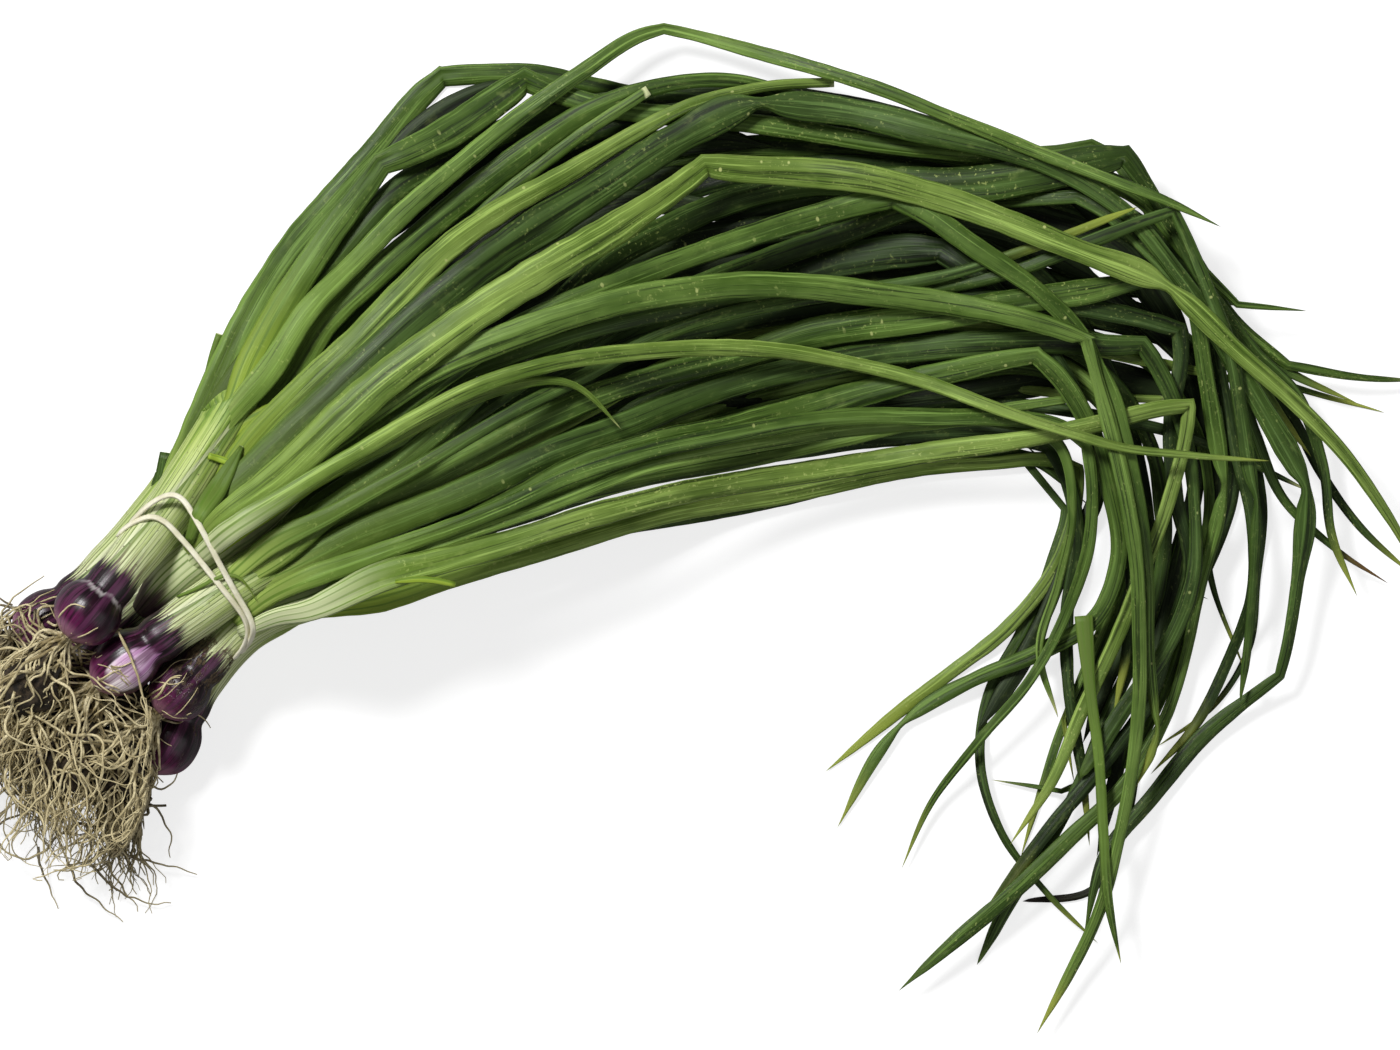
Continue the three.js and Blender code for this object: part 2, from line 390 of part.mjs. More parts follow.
const UPPER_LEAVES = [
  { name: 'leaf_1a', onion: 1, side: 0, path: [[-160, 48, 6], [-148, 66, 8.5], [-137, 82, 9.5],
    [-125, 97, 9.5], [-112, 112, 9.5], [-99.5, 122, 9.5], [-88, 129, 9.5], [-76, 136, 9.5],
    [-62, 141.5, 9.5], [-48, 146, 9.5], [-32, 148.5, 8.5], [-15, 149, 8.5], [5, 146.5, 8.5], [25, 143, 8.5],
    [45, 139.5, 8.5], [70, 135.5, 6], [95, 132, 6], [115, 128, 5], [132, 121.5, 5], [145, 113, 4.5],
    [156, 103, 4.5], [164, 93, 4.5], [171.5, 83.5, 4.5], [179, 74, 4.5], [187, 65, 4.5], [195, 59, 4],
    [204, 54.5, 3.5], [212, 51.8, 3], [219, 50.4, 2.6], [225, 48.3, 2.2], [229, 45.8, 1.6],
    [230.5, 43.3, 0.8]] },
  { name: 'leaf_1b', onion: 1, side: 1, path: [[-152, 44, 5], [-136, 60, 6.5], [-119, 78, 6.5],
    [-101, 96, 6.5], [-82, 112, 6.5], [-62, 126, 6.5], [-41, 137, 6.5], [-20, 144, 6.5], [0, 146, 6.5],
    [22, 145, 6.5], [44, 141, 6.5], [66, 136.5, 5], [88, 132, 5], [108, 127, 5], [126, 121, 4.5],
    [142, 114.5, 4.5], [154, 108.5, 4.5], [163, 100, 4.5], [170, 90, 4.5], [176, 78, 4.5], [180, 64, 4.2],
    [182.5, 50, 4], [184.5, 36, 4], [187.5, 23, 4], [191, 11, 4], [193, 0, 4], [194, -12, 4], [193, -22, 4],
    [190.5, -33, 4], [187, -42.5, 4], [184, -50.5, 4], [180.5, -58.5, 4], [175.5, -67, 3.8],
    [169, -75.5, 3.2], [163, -82, 2.2], [158, -87, 0.9]] },
  { name: 'leaf_1c', onion: 1, side: 0, path: [[-160, 50, 8], [-151, 66, 9], [-143, 81, 10], [-134, 95, 10],
    [-125, 107, 9.5], [-117, 118, 8.5], [-111.5, 126.5, 8, KINK], [-103, 130.3, 10], [-95, 134, 11],
    [-87, 138.5, 11.5], [-78, 144.5, 12], [-69, 151, 11], [-61.5, 156.5, 9, KINK], [-54, 153.5, 8],
    [-45, 150, 8], [-34, 147, 7.5], [-20, 145, 7], [-5, 143.5, 7], [8, 142.3, 7], [20, 140.8, 7],
    [40, 137.8, 7], [60, 134.8, 6.5], [80, 132, 6], [100, 130, 6], [118, 127.5, 5.5], [135, 125, 5],
    [148, 120.5, 5], [157, 114, 5], [163.5, 106.5, 5], [169, 98.5, 5], [174.5, 90, 5], [180, 81.5, 5],
    [186, 73.5, 4.8], [192, 66.5, 4.5], [198, 60.5, 4], [205, 57, 3.6], [213, 55, 3.3], [222, 53.5, 3],
    [232, 52.4, 2.7], [243, 51.7, 2.3], [254, 51.3, 0.9]] },
  { name: 'leaf_1d', onion: 1, side: 1, path: [[-148, 43, 8], [-140, 56, 8], [-134, 66, 8.5], [-125, 76, 9],
    [-110, 90.5, 9.5], [-95, 104, 9.5], [-80, 117, 9.5], [-65, 128.5, 9.5], [-52, 137.5, 9],
    [-40, 144.5, 8], [-30, 150, 7], [-20, 153.5, 6], [-8, 155.3, 5.5], [4, 156, 5], [14, 155.3, 5],
    [24, 152.5, 5], [40, 148, 5], [60, 142, 5], [85, 136, 5], [108, 130.5, 5], [128, 125.5, 5],
    [144, 119.5, 5], [156, 111.5, 5], [165, 101.5, 5], [172, 92, 4.5], [179, 83, 4], [186, 78.3, 3.5],
    [194, 76.8, 3], [203, 76, 2.4], [212, 75.3, 0.9]] },
  { name: 'leaf_1e', onion: 1, side: 1, path: [[-146, 40, 5], [-130, 54, 5], [-112, 73, 5], [-95, 91, 5],
    [-80, 106, 5], [-66, 118, 5], [-52, 129, 4.8], [-38, 140, 4.5], [-28, 147, 4.2], [-18.5, 152.5, 3.6]] },
  { name: 'leaf_3b', onion: 3, side: -1, path: [[-128, 2, 7], [-104, 15, 7], [-80, 30, 8], [-55, 48, 8],
    [-30, 63, 8], [-8, 75, 9], [12, 82, 10], [28, 87, 11], [42, 91, 12], [56, 94.5, 12], [70, 97, 12],
    [84, 97, 10, KINK], [94, 90, 8], [104, 80.5, 7], [113, 70.5, 7], [121.5, 60, 7], [128.5, 49, 7],
    [134.5, 38, 6.5], [139.5, 26, 6], [144, 14, 6], [148, 0, 5.5], [150.5, -15, 5], [150.7, -30, 5],
    [149, -45, 4], [147, -57, 2.8], [144.5, -68, 1]] },
  { name: 'leaf_3c', onion: 3, side: 0, path: [[-130, 8, 7.5], [-112, 18.3, 8.5], [-95, 27, 8.5],
    [-80, 34.5, 8], [-66, 41, 8], [-52, 48, 7.5], [-40, 54.5, 7.5], [-26, 61, 7.5], [-10, 67, 7.5],
    [10, 71.5, 7.5], [30, 75, 8], [50, 78, 8], [70, 79.5, 7.5], [90, 79.3, 7], [110, 78.3, 7],
    [130, 76.8, 7], [145, 74.5, 7], [158, 71.5, 6.5], [167, 69, 6, KINK], [168, 58, 6], [166, 45, 6],
    [164, 32, 5.5], [163.5, 20, 5.5], [166, 10, 5.5], [170, 1.5, 5.3], [171.3, -8, 5], [169.5, -20, 5],
    [166.5, -31, 5.5], [163, -43, 5.5], [160, -53, 5.5], [156, -63, 5.5], [151, -72, 5.5],
    [144, -79.5, 5.5], [137, -87, 5.5], [130, -94.5, 5.5], [124, -103, 5.2], [117, -112, 5],
    [110, -122, 4.6], [104, -131.5, 4], [99, -139, 3], [94, -145, 1]] },
  { name: 'leaf_3d', onion: 3, side: 1, path: [[-134, -2.5, 6], [-120, 3.5, 7.5], [-105, 11, 8],
    [-90, 19.5, 8.5], [-75, 27.5, 9], [-60, 35, 9], [-40, 44, 9], [-20, 51, 8.5], [0, 56.5, 8],
    [15, 60.5, 8.5], [30, 65.5, 10], [50, 69.5, 11], [70, 72.3, 11], [90, 74.3, 10], [105, 77.2, 9],
    [120, 80, 9], [135, 82.5, 9], [150, 85.5, 7], [159, 87.3, 5.5], [166, 88, 4.5, KINK], [169.3, 82, 5],
    [171.5, 73, 5.5], [174, 62, 5.8], [176.5, 50, 6], [178.5, 40, 6], [180.5, 30, 5.5], [182.3, 21, 5],
    [183.3, 14.5, 4.5, KINK], [181.5, 6, 4.5], [179, -4, 4.2], [176.5, -15, 4], [174.5, -26, 4],
    [171.5, -39, 4], [168, -51, 4], [164, -63, 4.2], [159.5, -73, 4.6], [154, -83, 5], [147.5, -92, 5.5],
    [140, -100.5, 6], [130, -108.5, 6], [120, -117.5, 6], [110, -127, 6], [100, -136.3, 6], [88, -146, 5],
    [78, -154.5, 3.6], [69.5, -163, 1]] },
  { name: 'leaf_3e', onion: 3, side: 1, path: [[-132, -8, 8], [-118, -3, 9], [-102, 3.5, 10],
    [-86, 10, 10.5], [-66, 19, 10.5], [-46, 28, 10], [-30, 34, 10], [-12, 41.2, 9.5], [5, 47.5, 9],
    [22, 52.5, 8.5], [40, 56.5, 9], [60, 59.5, 9], [80, 62.3, 9], [100, 64.5, 9], [118, 65, 9],
    [134, 63.8, 8.5], [146, 63, 7.5], [154, 63.3, 6.5, KINK], [159, 56, 6.5], [164, 47, 6], [168, 37, 5.5],
    [169.8, 25, 5], [171, 14, 4.5], [173, 3, 4.5], [173, -10, 5], [170.5, -23, 5.5], [166, -36, 6],
    [159.5, -48, 6], [152, -58, 6], [145, -68, 6], [138, -78.5, 6.2], [132.5, -88, 6.2]] },
  { name: 'leaf_3f', onion: 3, side: -1, path: [[-128, 6, 7], [-104, 22, 7], [-80, 39, 8], [-58, 54, 8],
    [-38, 66, 8], [-20, 76.5, 8], [-4, 83.5, 8], [12, 89.5, 8], [28, 95.5, 8.5], [42, 100, 8.5],
    [56, 105.5, 8], [70, 110, 7], [86, 112.5, 6.5], [102, 113.5, 6], [118, 114.5, 5.5], [131, 115, 5, KINK],
    [140, 110, 5], [149, 102, 4.5], [157.5, 94, 4.2], [165.5, 85, 4.2], [173, 75.5, 4.2], [180, 65, 4.2],
    [186, 53, 4.2], [190, 42, 4], [194, 31, 4], [199, 19.5, 3.6], [204, 9.5, 3.4], [208.5, 2, 3],
    [213, -1, 2.6], [219, -5, 2.5], [225, -9.7, 2], [229, -14, 1.3], [235, -17, 0.9], [241.5, -20, 0.7]] },
  { name: 'leaf_3g', onion: 3, side: 0, path: [[-130, 4, 7], [-106, 20, 8], [-86, 38, 8], [-66, 58, 8.5],
    [-50, 75, 9], [-36, 90, 9], [-22, 99.5, 9.5], [-8, 106.3, 9.5], [6, 112, 9], [20, 117, 9],
    [38, 120.3, 10], [58, 120, 12], [78, 118.5, 13], [98, 120, 13], [118, 123.3, 13], [136, 127, 11.5],
    [148, 129, 9, KINK], [152.5, 122.5, 6], [157.5, 115, 5.5], [163, 107, 5], [168, 99, 5], [173, 90.5, 5],
    [178.5, 81, 5], [184.5, 72, 5], [191, 63.5, 5], [198, 56, 5], [205, 49.5, 5], [211, 42.5, 4.5],
    [215, 33, 4], [217.5, 21.5, 3.8], [219, 9, 3.6], [220, -1, 3.3], [222.5, -9, 3], [226, -17, 2.4],
    [230, -24.3, 0.9]] },
  { name: 'leaf_4c', onion: 4, side: -1, path: [[-118, -14, 6], [-100, -9, 6], [-82, -1, 6], [-64, 6, 6],
    [-48, 10.3, 6], [-34, 13.7, 6], [-20, 16.6, 5.5], [-6, 19.5, 5.5], [8, 22, 5.5], [22, 25, 5.5],
    [36, 27.8, 5.5], [50, 30.8, 5.5], [65, 34.3, 5], [80, 37.3, 4.5], [95, 39.6, 4], [110, 41.8, 3.8],
    [120, 43.5, 3.4], [127, 44.3, 3.2]] },
  { name: 'leaf_4d', onion: 4, side: 0, path: [[-120, -15, 9], [-104, -10, 9.5], [-90, -4.5, 10],
    [-75, 2.5, 11], [-60, 10, 11.5], [-45, 18, 11.5], [-33, 24, 11], [-22, 27.8, 9.5], [-8, 30, 10],
    [10, 34, 10], [30, 39, 10.5], [50, 44.3, 10], [65, 48.5, 9.5], [80, 52.3, 8.5], [95, 56, 7.5],
    [108, 59, 7], [116.5, 60, 7, KINK], [124, 53, 7], [130, 44.5, 7], [135, 35, 6.5], [139, 24, 6],
    [142.5, 12, 5.6], [145.3, 0, 5.5], [146.3, -11, 5.8], [145, -21, 6], [140.5, -29.5, 6],
    [133, -35.5, 6.3], [123, -41.3, 6.3], [113, -46.3, 6], [103, -50.3, 5.6], [93, -54.7, 5.2],
    [83, -60.6, 4.8], [75, -65.8, 4.2], [70.5, -69.5, 3.8, KINK], [65, -76, 3.6], [60.5, -83, 3.5],
    [57, -91, 3.4], [53, -99, 2.8], [48, -106, 0.9]] },
  { name: 'leaf_4e', onion: 4, side: 1, path: [[-118, -16, 5], [-96, -8, 5], [-72, 1, 5], [-46, 10, 5],
    [-20, 19.5, 5], [6, 26, 5], [30, 30.5, 5], [52, 33.8, 5], [74, 36, 5], [92, 37, 5], [108, 36.5, 4.8],
    [120, 32.5, 4.5], [127.3, 24, 4], [129.3, 12, 3.5], [129, 0, 3.2], [127.3, -12, 3.1], [123.7, -23, 3.1],
    [120.4, -33, 3.1], [118.6, -43, 3.1], [119.5, -52, 2.8], [122, -60, 2.4], [125.3, -67, 1.2]] },
  { name: 'leaf_4f', onion: 4, side: -1, path: [[-116, -11, 6], [-92, -2.5, 6], [-66, 8, 6], [-40, 19.5, 6],
    [-14, 27, 6], [12, 32.5, 6], [36, 37, 6], [60, 38.5, 6], [80, 38.3, 6.5], [98, 38, 6], [114, 37.3, 5.5],
    [126, 35, 5], [134.3, 28.5, 4.5, KINK], [136.5, 18, 4.4], [137.2, 8, 4.4], [136.4, -2, 4.6],
    [133.3, -12, 4.6], [130.3, -22, 4.5], [127, -31, 4.2], [123, -39, 4], [119, -46, 4], [115.3, -53, 3.8],
    [109.5, -61, 3.6], [102.5, -69, 3.5], [95, -78, 3.3], [88, -87.5, 2.8], [81, -96.5, 2.5],
    [75, -105, 2.3], [71.8, -112, 1.8], [70.5, -120, 0.8]] },
  { name: 'leaf_4g', onion: 4, side: 1, path: [[-122, -21, 8], [-108, -17, 9], [-94, -13, 9],
    [-80, -8.8, 9], [-66, -5, 8.5], [-52, -1, 8.5], [-39, 3.5, 8.5], [-26, 7.7, 8.5], [-12, 11, 8],
    [2, 13.8, 8], [18, 16.2, 8], [34, 18.6, 8], [50, 20.8, 8], [66, 23.3, 8], [82, 26.2, 7.5],
    [98, 28.6, 7], [112, 30.8, 6.5], [124, 33, 6], [136, 35.3, 6.2], [148, 38, 6.5], [158, 40.6, 6],
    [170, 42.2, 5, KINK], [169.3, 34, 5], [167.3, 25, 5], [165, 15, 4.8], [162.3, 5.5, 4.8], [159, -4, 5],
    [155.3, -13, 5], [151.3, -23, 5.2], [147, -34, 5.3], [142, -46, 5.2], [136.5, -58, 5], [131, -70, 4.7],
    [126.3, -82, 4.2], [121.8, -92, 3.6], [116.5, -101.5, 2.8], [112, -107, 2], [108.5, -111.5, 0.9]] },
  { name: 'leaf_2a', onion: 2, side: -1, path: [[-156, 28, 9.5], [-140, 45, 10], [-122, 62, 10],
    [-105, 79.5, 10], [-88, 96, 9.5], [-70, 110, 8.5], [-50, 122, 7.5], [-30, 133.5, 6.5],
    [-12, 143.8, 5.5], [2, 149.5, 4.5], [16, 153, 4], [30, 154.8, 3.6], [46.5, 155.2, 3.3]] },
  { name: 'leaf_2b', onion: 2, side: -1, path: [[-147, 25, 12], [-133, 39, 13], [-117, 55, 13],
    [-100, 70.5, 13], [-85, 83, 13.5], [-70, 94.5, 13.5], [-55, 105, 13.5], [-40, 114.5, 13],
    [-25, 124.5, 12], [-10, 134.3, 11.5], [2, 141.5, 11], [12, 145.8, 10], [21, 147.8, 8.5, KINK],
    [32, 146.8, 8.5], [45, 145.3, 9.5], [58, 143.6, 10], [72, 140.5, 10.5], [86, 136.8, 10], [100, 133, 8],
    [113, 128.8, 7], [126, 123, 6.5], [139, 116, 6.5], [150, 107.5, 6], [158, 99, 6], [165, 89.5, 6],
    [172, 79, 6], [180, 67.5, 6.3], [187, 56.5, 6.6], [193, 46, 7], [199, 35, 7.2], [205, 24.5, 7.4],
    [210.5, 14, 7.3, KINK], [211, 3, 6.2], [209.6, -10, 5], [208.5, -22, 4.8], [206.7, -34, 4.8],
    [204.5, -44, 4.2], [202.5, -52, 4, KINK], [196, -57, 4.6], [188, -63, 5.4], [180, -70, 5.8],
    [172, -78, 6], [165, -87, 5.8], [158, -96, 5.6], [151, -104.5, 5.3], [145, -111.5, 4.8],
    [140, -118.5, 4.4], [137.5, -127, 3.8], [136, -136, 3], [134.3, -143, 1]] },
  { name: 'leaf_2c', onion: 2, side: 0, path: [[-136, 14, 5], [-118, 30, 5.5], [-96, 46, 6], [-72, 57, 6],
    [-46, 65.5, 6], [-20, 72.5, 6], [4, 77.5, 5.5], [26, 80, 5.5], [48, 81.3, 5.5], [67, 82, 5.2],
    [85, 83.5, 4.5], [97, 85.4, 4.3], [107, 87.8, 4.5], [117, 91.5, 5], [128, 96, 5.5], [140, 101.5, 5.3],
    [152, 105.8, 4.6], [159, 108.2, 4.3], [164.3, 109.6, 4.2, KINK], [167.3, 103, 4.5], [170.8, 94.5, 4.8],
    [174.7, 85, 5], [178.5, 76, 5.2], [182, 67.5, 5.2], [184.6, 58.5, 5.2], [186.3, 49, 5.2],
    [187.8, 39, 5.2], [189.3, 28, 5], [191, 18, 4.6], [193.2, 9.5, 3.6, KINK], [193.3, 0, 3.6],
    [193.2, -12, 3.5], [192.8, -24, 3.4], [192, -34, 3.3], [190.8, -44, 3], [189.4, -54, 2.8],
    [188.6, -61, 2.4]] },
  { name: 'leaf_3h', onion: 3, side: -1, path: [[-128, 4, 5], [-104, 17, 5], [-80, 31, 5], [-56, 44.5, 5],
    [-32, 57, 5], [-10, 68, 5], [14, 75, 5], [38, 79.5, 5], [58, 82.3, 5], [72, 84.7, 4.5], [84, 87.7, 4.4],
    [97, 91.6, 4.2], [110, 95.2, 3.8], [123, 99.6, 3.4], [137, 105.2, 3], [151.5, 111, 2.4]] },
  { name: 'leaf_2d', onion: 2, side: 1, path: [[-134, 16, 6], [-114, 32, 7], [-94, 48, 7.5], [-74, 62, 8],
    [-54, 73, 8], [-36, 81.5, 8], [-20, 88, 8], [0, 95.3, 8], [20, 101.8, 8.5], [38, 108, 8.5],
    [54, 112.5, 9], [67, 114.3, 8.5, KINK], [78, 109, 8], [90, 100.5, 8], [102, 92.5, 7.5], [113, 85, 6.5],
    [124, 76, 5.6], [133, 66.5, 5], [139.3, 57, 4.4, KINK], [143, 46, 4.8], [146.3, 34, 5], [149.7, 21, 5],
    [152.3, 8, 4.8], [154.5, -5, 4.6], [155.7, -15, 4], [156, -28, 3.6], [156.5, -42, 3.4],
    [157.7, -56, 3.2], [159.6, -71, 3, KINK], [156.5, -81.5, 3], [152, -91, 0.9]] },
  { name: 'leaf_2e', onion: 2, side: 1, path: [[-128, 19, 5], [-112, 27.5, 5.5], [-97, 36, 5.5],
    [-84, 43, 5], [-70, 48.2, 4.5], [-57, 51.3, 4.2], [-46, 52.3, 3.4], [-38, 50.3, 2.6], [-33, 46, 2],
    [-30.8, 40.5, 1.5], [-29.2, 36, 1.2], [-27.3, 33.7, 0.8]] },
  { name: 'leaf_2f', onion: 2, side: 0, path: [[-142, 19.5, 7.5], [-124, 32, 8.5], [-106, 45, 9],
    [-88, 56, 9.5], [-72, 63.5, 9.8], [-56, 69.5, 10], [-40, 74.5, 10], [-22, 79.3, 9.5], [-4, 82.5, 9],
    [14, 83.6, 9], [32, 83.3, 9], [50, 82.2, 9], [70, 80, 8.8], [88, 77.3, 8.5], [104, 73.8, 8],
    [118, 70.3, 7.2], [127, 67.8, 6.5], [134, 65.3, 6, KINK], [136.5, 56, 4.4], [138.6, 46, 5],
    [142, 34, 6], [145.5, 20, 6.2], [148, 7, 5.6], [150.5, -6, 5.3], [152, -20, 5.2], [152.6, -40, 5.2],
    [152.6, -60, 5], [151.4, -78, 4.7], [148.5, -97, 4.5], [145.3, -112, 4.6], [141.3, -128, 4.5],
    [135.5, -143, 4.4], [130, -155, 4], [125, -166, 3.2], [118, -178, 0.9]] },
  { name: 'leaf_2g', onion: 2, side: 0, path: [[-150, 13, 10], [-136, 25.5, 12], [-120, 40.5, 13],
    [-105, 53.5, 13], [-90, 64.3, 12.5], [-75, 74.5, 12.5], [-60, 84.5, 12.5], [-42, 96, 12],
    [-25, 106.5, 11], [-10, 116.3, 9.5], [1.5, 125.5, 8, KINK], [15, 124.3, 10.5], [31, 123.7, 10.5],
    [47, 122.2, 10.5], [63, 119.5, 10], [77, 116.3, 10], [91, 111.5, 9.5], [105, 106.3, 9], [119, 101, 9],
    [131, 96.3, 8.5], [145, 91, 8], [155, 87, 7.5], [162.5, 83, 7, KINK], [169, 77.5, 6.5],
    [177, 69.5, 6.3], [186, 61, 6.2], [196, 52, 6], [205, 44, 5.8], [213, 37, 5.4], [221, 29, 5],
    [228, 20.5, 4.5], [235, 11, 4], [241, 2, 3.6], [246, -6, 3], [253, -17, 1]] },
  { name: 'leaf_1f', onion: 1, side: 0, path: [[-157, 44, 6], [-151, 52, 7], [-144, 64, 7.5],
    [-132, 80.5, 7.5], [-117, 95, 7.5], [-100, 112.5, 7.3], [-80, 130, 7], [-60, 146, 6.5], [-45, 157, 6],
    [-30, 166, 5.6], [-18.5, 173.3, 5], [-13, 174.6, 4.5, KINK], [-4, 172.7, 4], [8, 169.6, 4.8],
    [20, 165.8, 5.2], [35, 161.2, 5], [50, 156.8, 4.8], [65, 151.8, 4.8], [80, 145.8, 4.8],
    [95, 139.3, 4.8], [110, 133.3, 4.8], [125, 127.3, 4.6], [140, 121.8, 4.2], [152, 117, 3.8],
    [163, 112, 3.2], [170, 109.5, 2.6], [176, 107, 1.9], [180.5, 104, 0.9]] },
  { name: 'leaf_2h', onion: 2, side: 1, path: [[-126, 21, 5.5], [-108, 32, 6], [-92, 41.3, 6],
    [-76, 48.8, 6], [-60, 54, 6], [-40, 58.2, 6], [-20, 60.8, 6], [0, 62, 6], [20, 61.6, 5.8],
    [35, 60.1, 5.6], [50, 57.2, 5.2], [70, 52.5, 5], [91, 45.3, 4.6], [112, 38.6, 4.2], [133, 31, 3.6],
    [147, 27, 3.2], [160, 24.6, 2.8], [175, 24.5, 2.3], [188, 24.2, 1.8], [198, 23.3, 0.9]] },
  { name: 'leaf_loose', onion: 0, side: 0, path: [[133.7, -31, 6.6], [133.9, -38, 5.2], [134.9, -48, 4.4],
    [136.5, -60, 4.2], [138, -72, 4], [139.6, -86, 3.9], [140.2, -100, 3.8], [140.6, -112, 3.7],
    [141.5, -124, 3.5], [142.6, -134, 3.1], [144.5, -144, 2.3], [147, -153, 0.9]] },
];

// ---- build ----------------------------------------------------------------------------------------
const stemEnds = {};

function buildOnion(number) {
  const { bulb, path } = ONIONS[number];
  const plan = new THREE.CatmullRomCurve3(
    path.map(([x, y]) => new THREE.Vector3(x, y, 0)), false, 'centripetal');
  const length = plan.getLength();
  const stations = BULB_PROFILE.map(([along, share]) => [along, share * bulb]);
  const stemSteps = Math.round((length - NECK_START) / STEM_STEP);
  for (let i = 0; i <= stemSteps; i += 1) {
    stations.push([NECK_START + (length - NECK_START) * i / stemSteps, STEM_RADIUS]);
  }
  const sections = stations.map(([along, radius]) => {
    const t = plan.getUtoTmapping(Math.min(1, along / length));
    const at = plan.getPoint(t);
    const heading = plan.getTangent(t);
    const under = along < NECK_START ? 0 : STEM_UNDER;
    return section(at.x, at.y, -heading.y, heading.x, radius, radius, under);
  });
  lay(sections, STEM_SIDES, STEM_BEND_RADIUS, bulb);
  add(`onion_${number}`, solidThrough(sections, STEM_SIDES), 0x7a2a55);
  const last = sections.at(-1);
  stemEnds[number] = { ...last, headingX: last.ny, headingY: -last.nx, rows: { '-1': 0, 0: 0, 1: 0 } };
  stemEnds[number].rootZ = sections[0].z;
  return sections;
}

function buildTuft(number) {
  const points = TUFTS[number];
  const sections = planSections(points, 14, tuftHalfThickness);
  lay(sections, ROOT_SIDES, ROOT_BEND_RADIUS, Math.max(0, stemEnds[number].rootZ - 5));
  add(`roots_${number}`, solidThrough(sections, ROOT_SIDES), 0xb09a6a);
}

function buildLeaf({ name, onion, side, path }) {
  let points = path;
  let startHeight = 0;
  if (onion > 0) {
    const end = stemEnds[onion];
    const row = end.rows[side];
    end.rows[side] += 1;
    const offset = -side * LEAF_BASE_PITCH;
    const base = [end.x + end.headingX * LEAF_BASE_REACH + end.nx * offset,
      end.y + end.headingY * LEAF_BASE_REACH + end.ny * offset, LEAF_BASE_WIDTH];
    points = [base, ...path];
    startHeight = end.z + (row - 1) * LEAF_ROW_HEIGHT;
  }
  const sections = planSections(points, LEAF_STEP, leafHalfThickness);
  lay(sections, LEAF_SIDES, LEAF_BEND_RADIUS, startHeight);
  add(name, solidThrough(sections, LEAF_SIDES), 0x4c7a35);
}

// The rubber band: two turns round the stems, cut through the run of sections of every stem by the
// upright plane in which the band lies.
const BAND_PLANE = { x: -173, y: -18, alongX: 0.591, alongY: -0.806 };

function stemOutline(stems) {
  const outline = [];
  const { x, y, alongX, alongY } = BAND_PLANE;
  const reach = (BAND_SPREAD + BAND_WIDTH) / 2;
  for (const sections of stems) {
    for (const ahead of [-reach, 0, reach]) {
      const past = (s) => (s.x - x) * -alongY + (s.y - y) * alongX - ahead;
      const i = sections.findIndex((s, k) => k > 0 && past(s) >= 0 && past(sections[k - 1]) < 0);
      const p = sections[i - 1];
      const q = sections[i];
      const u = -past(p) / (past(q) - past(p));
      const t = (p.x + (q.x - p.x) * u - x) * alongX + (p.y + (q.y - p.y) * u - y) * alongY;
      const z = p.z + (q.z - p.z) * u;
      const slant = Math.abs(q.nx * alongX + q.ny * alongY);
      for (let k = 0; k < 36; k += 1) {
        const angle = 2 * Math.PI * k / 36;
        outline.push([t + STEM_RADIUS / slant * Math.cos(angle), z + STEM_RADIUS * Math.sin(angle)]);
      }
    }
  }
  return outline;
}

// A stretched band touches only the hull of the outline.
function bandRing(outline) {
  const turn = (o, a, b) => (a[0] - o[0]) * (b[1] - o[1]) - (a[1] - o[1]) * (b[0] - o[0]);
  const sorted = [...outline].sort((a, b) => a[0] - b[0] || a[1] - b[1]);
  const half = (points) => {
    const chain = [];
    for (const point of points) {
      while (chain.length > 1 && turn(chain.at(-2), chain.at(-1), point) <= 0) chain.pop();
      chain.push(point);
    }
    return chain.slice(0, -1);
  };
  const hull = [...half(sorted), ...half(sorted.reverse())];
  return new THREE.CatmullRomCurve3(
    hull.map(([t, z]) => new THREE.Vector3(t, z, 0)), true, 'centripetal');
}

function buildBand(stems) {
  const ring = bandRing(stemOutline(stems));
  const geometry = new THREE.TorusGeometry(1, 0.5, 4, BAND_STEPS);
  const position = geometry.attributes.position;
  const { x, y, alongX, alongY } = BAND_PLANE;
  for (let i = 0; i < position.count; i += 1) {
    const px = position.getX(i);
    const py = position.getY(i);
    const pz = position.getZ(i);
    const around = (Math.atan2(py, px) / (2 * Math.PI) + 1) % 1;
    const corner = Math.atan2(pz, Math.hypot(px, py) - 1) + Math.PI / 4;
    const outward = Math.sign(Math.cos(corner));
    const sideways = -Math.sign(Math.sin(corner));
    const phase = 2 * Math.PI * around;
    const u = (2 * around) % 1;
    const at = ring.getPointAt(u);
    const tangent = ring.getTangentAt(u);
    const lift = GAP + BAND_LIFT + BAND_LIFT * Math.sin(phase)
      + BAND_THICKNESS / 2 * (1 + outward);
    const axial = BAND_SPREAD / 2 * Math.cos(phase) + BAND_WIDTH / 2 * sideways;
    const t = at.x + tangent.y * lift;
    const z = at.y - tangent.x * lift;
    position.setXYZ(i, x + alongX * t - alongY * axial, y + alongY * t + alongX * axial, z);
  }
  geometry.computeVertexNormals();
  add('band', geometry, 0xe6dcc0);
}

// Lower onions with their roots and leaves first, then the onions and the leaves on top.
const stems = [];
for (const number of [6, 5]) {
  stems.push(buildOnion(number));
  buildTuft(number);
}
LEAVES.filter(({ onion }) => onion > 4).forEach(buildLeaf);
for (const number of [2, 4, 3, 1]) {
  stems.push(buildOnion(number));
  buildTuft(number);
}
LEAVES.filter(({ onion }) => onion <= 4).forEach(buildLeaf);
UPPER_LEAVES.forEach(buildLeaf);
buildBand(stems);

// The origin is the middle of the underside.
const box = new THREE.Box3().setFromObject(group);
const middle = box.getCenter(new THREE.Vector3());
for (const mesh of group.children) {
  mesh.geometry.translate(-middle.x, -middle.y, -box.min.z);
}

export default group;
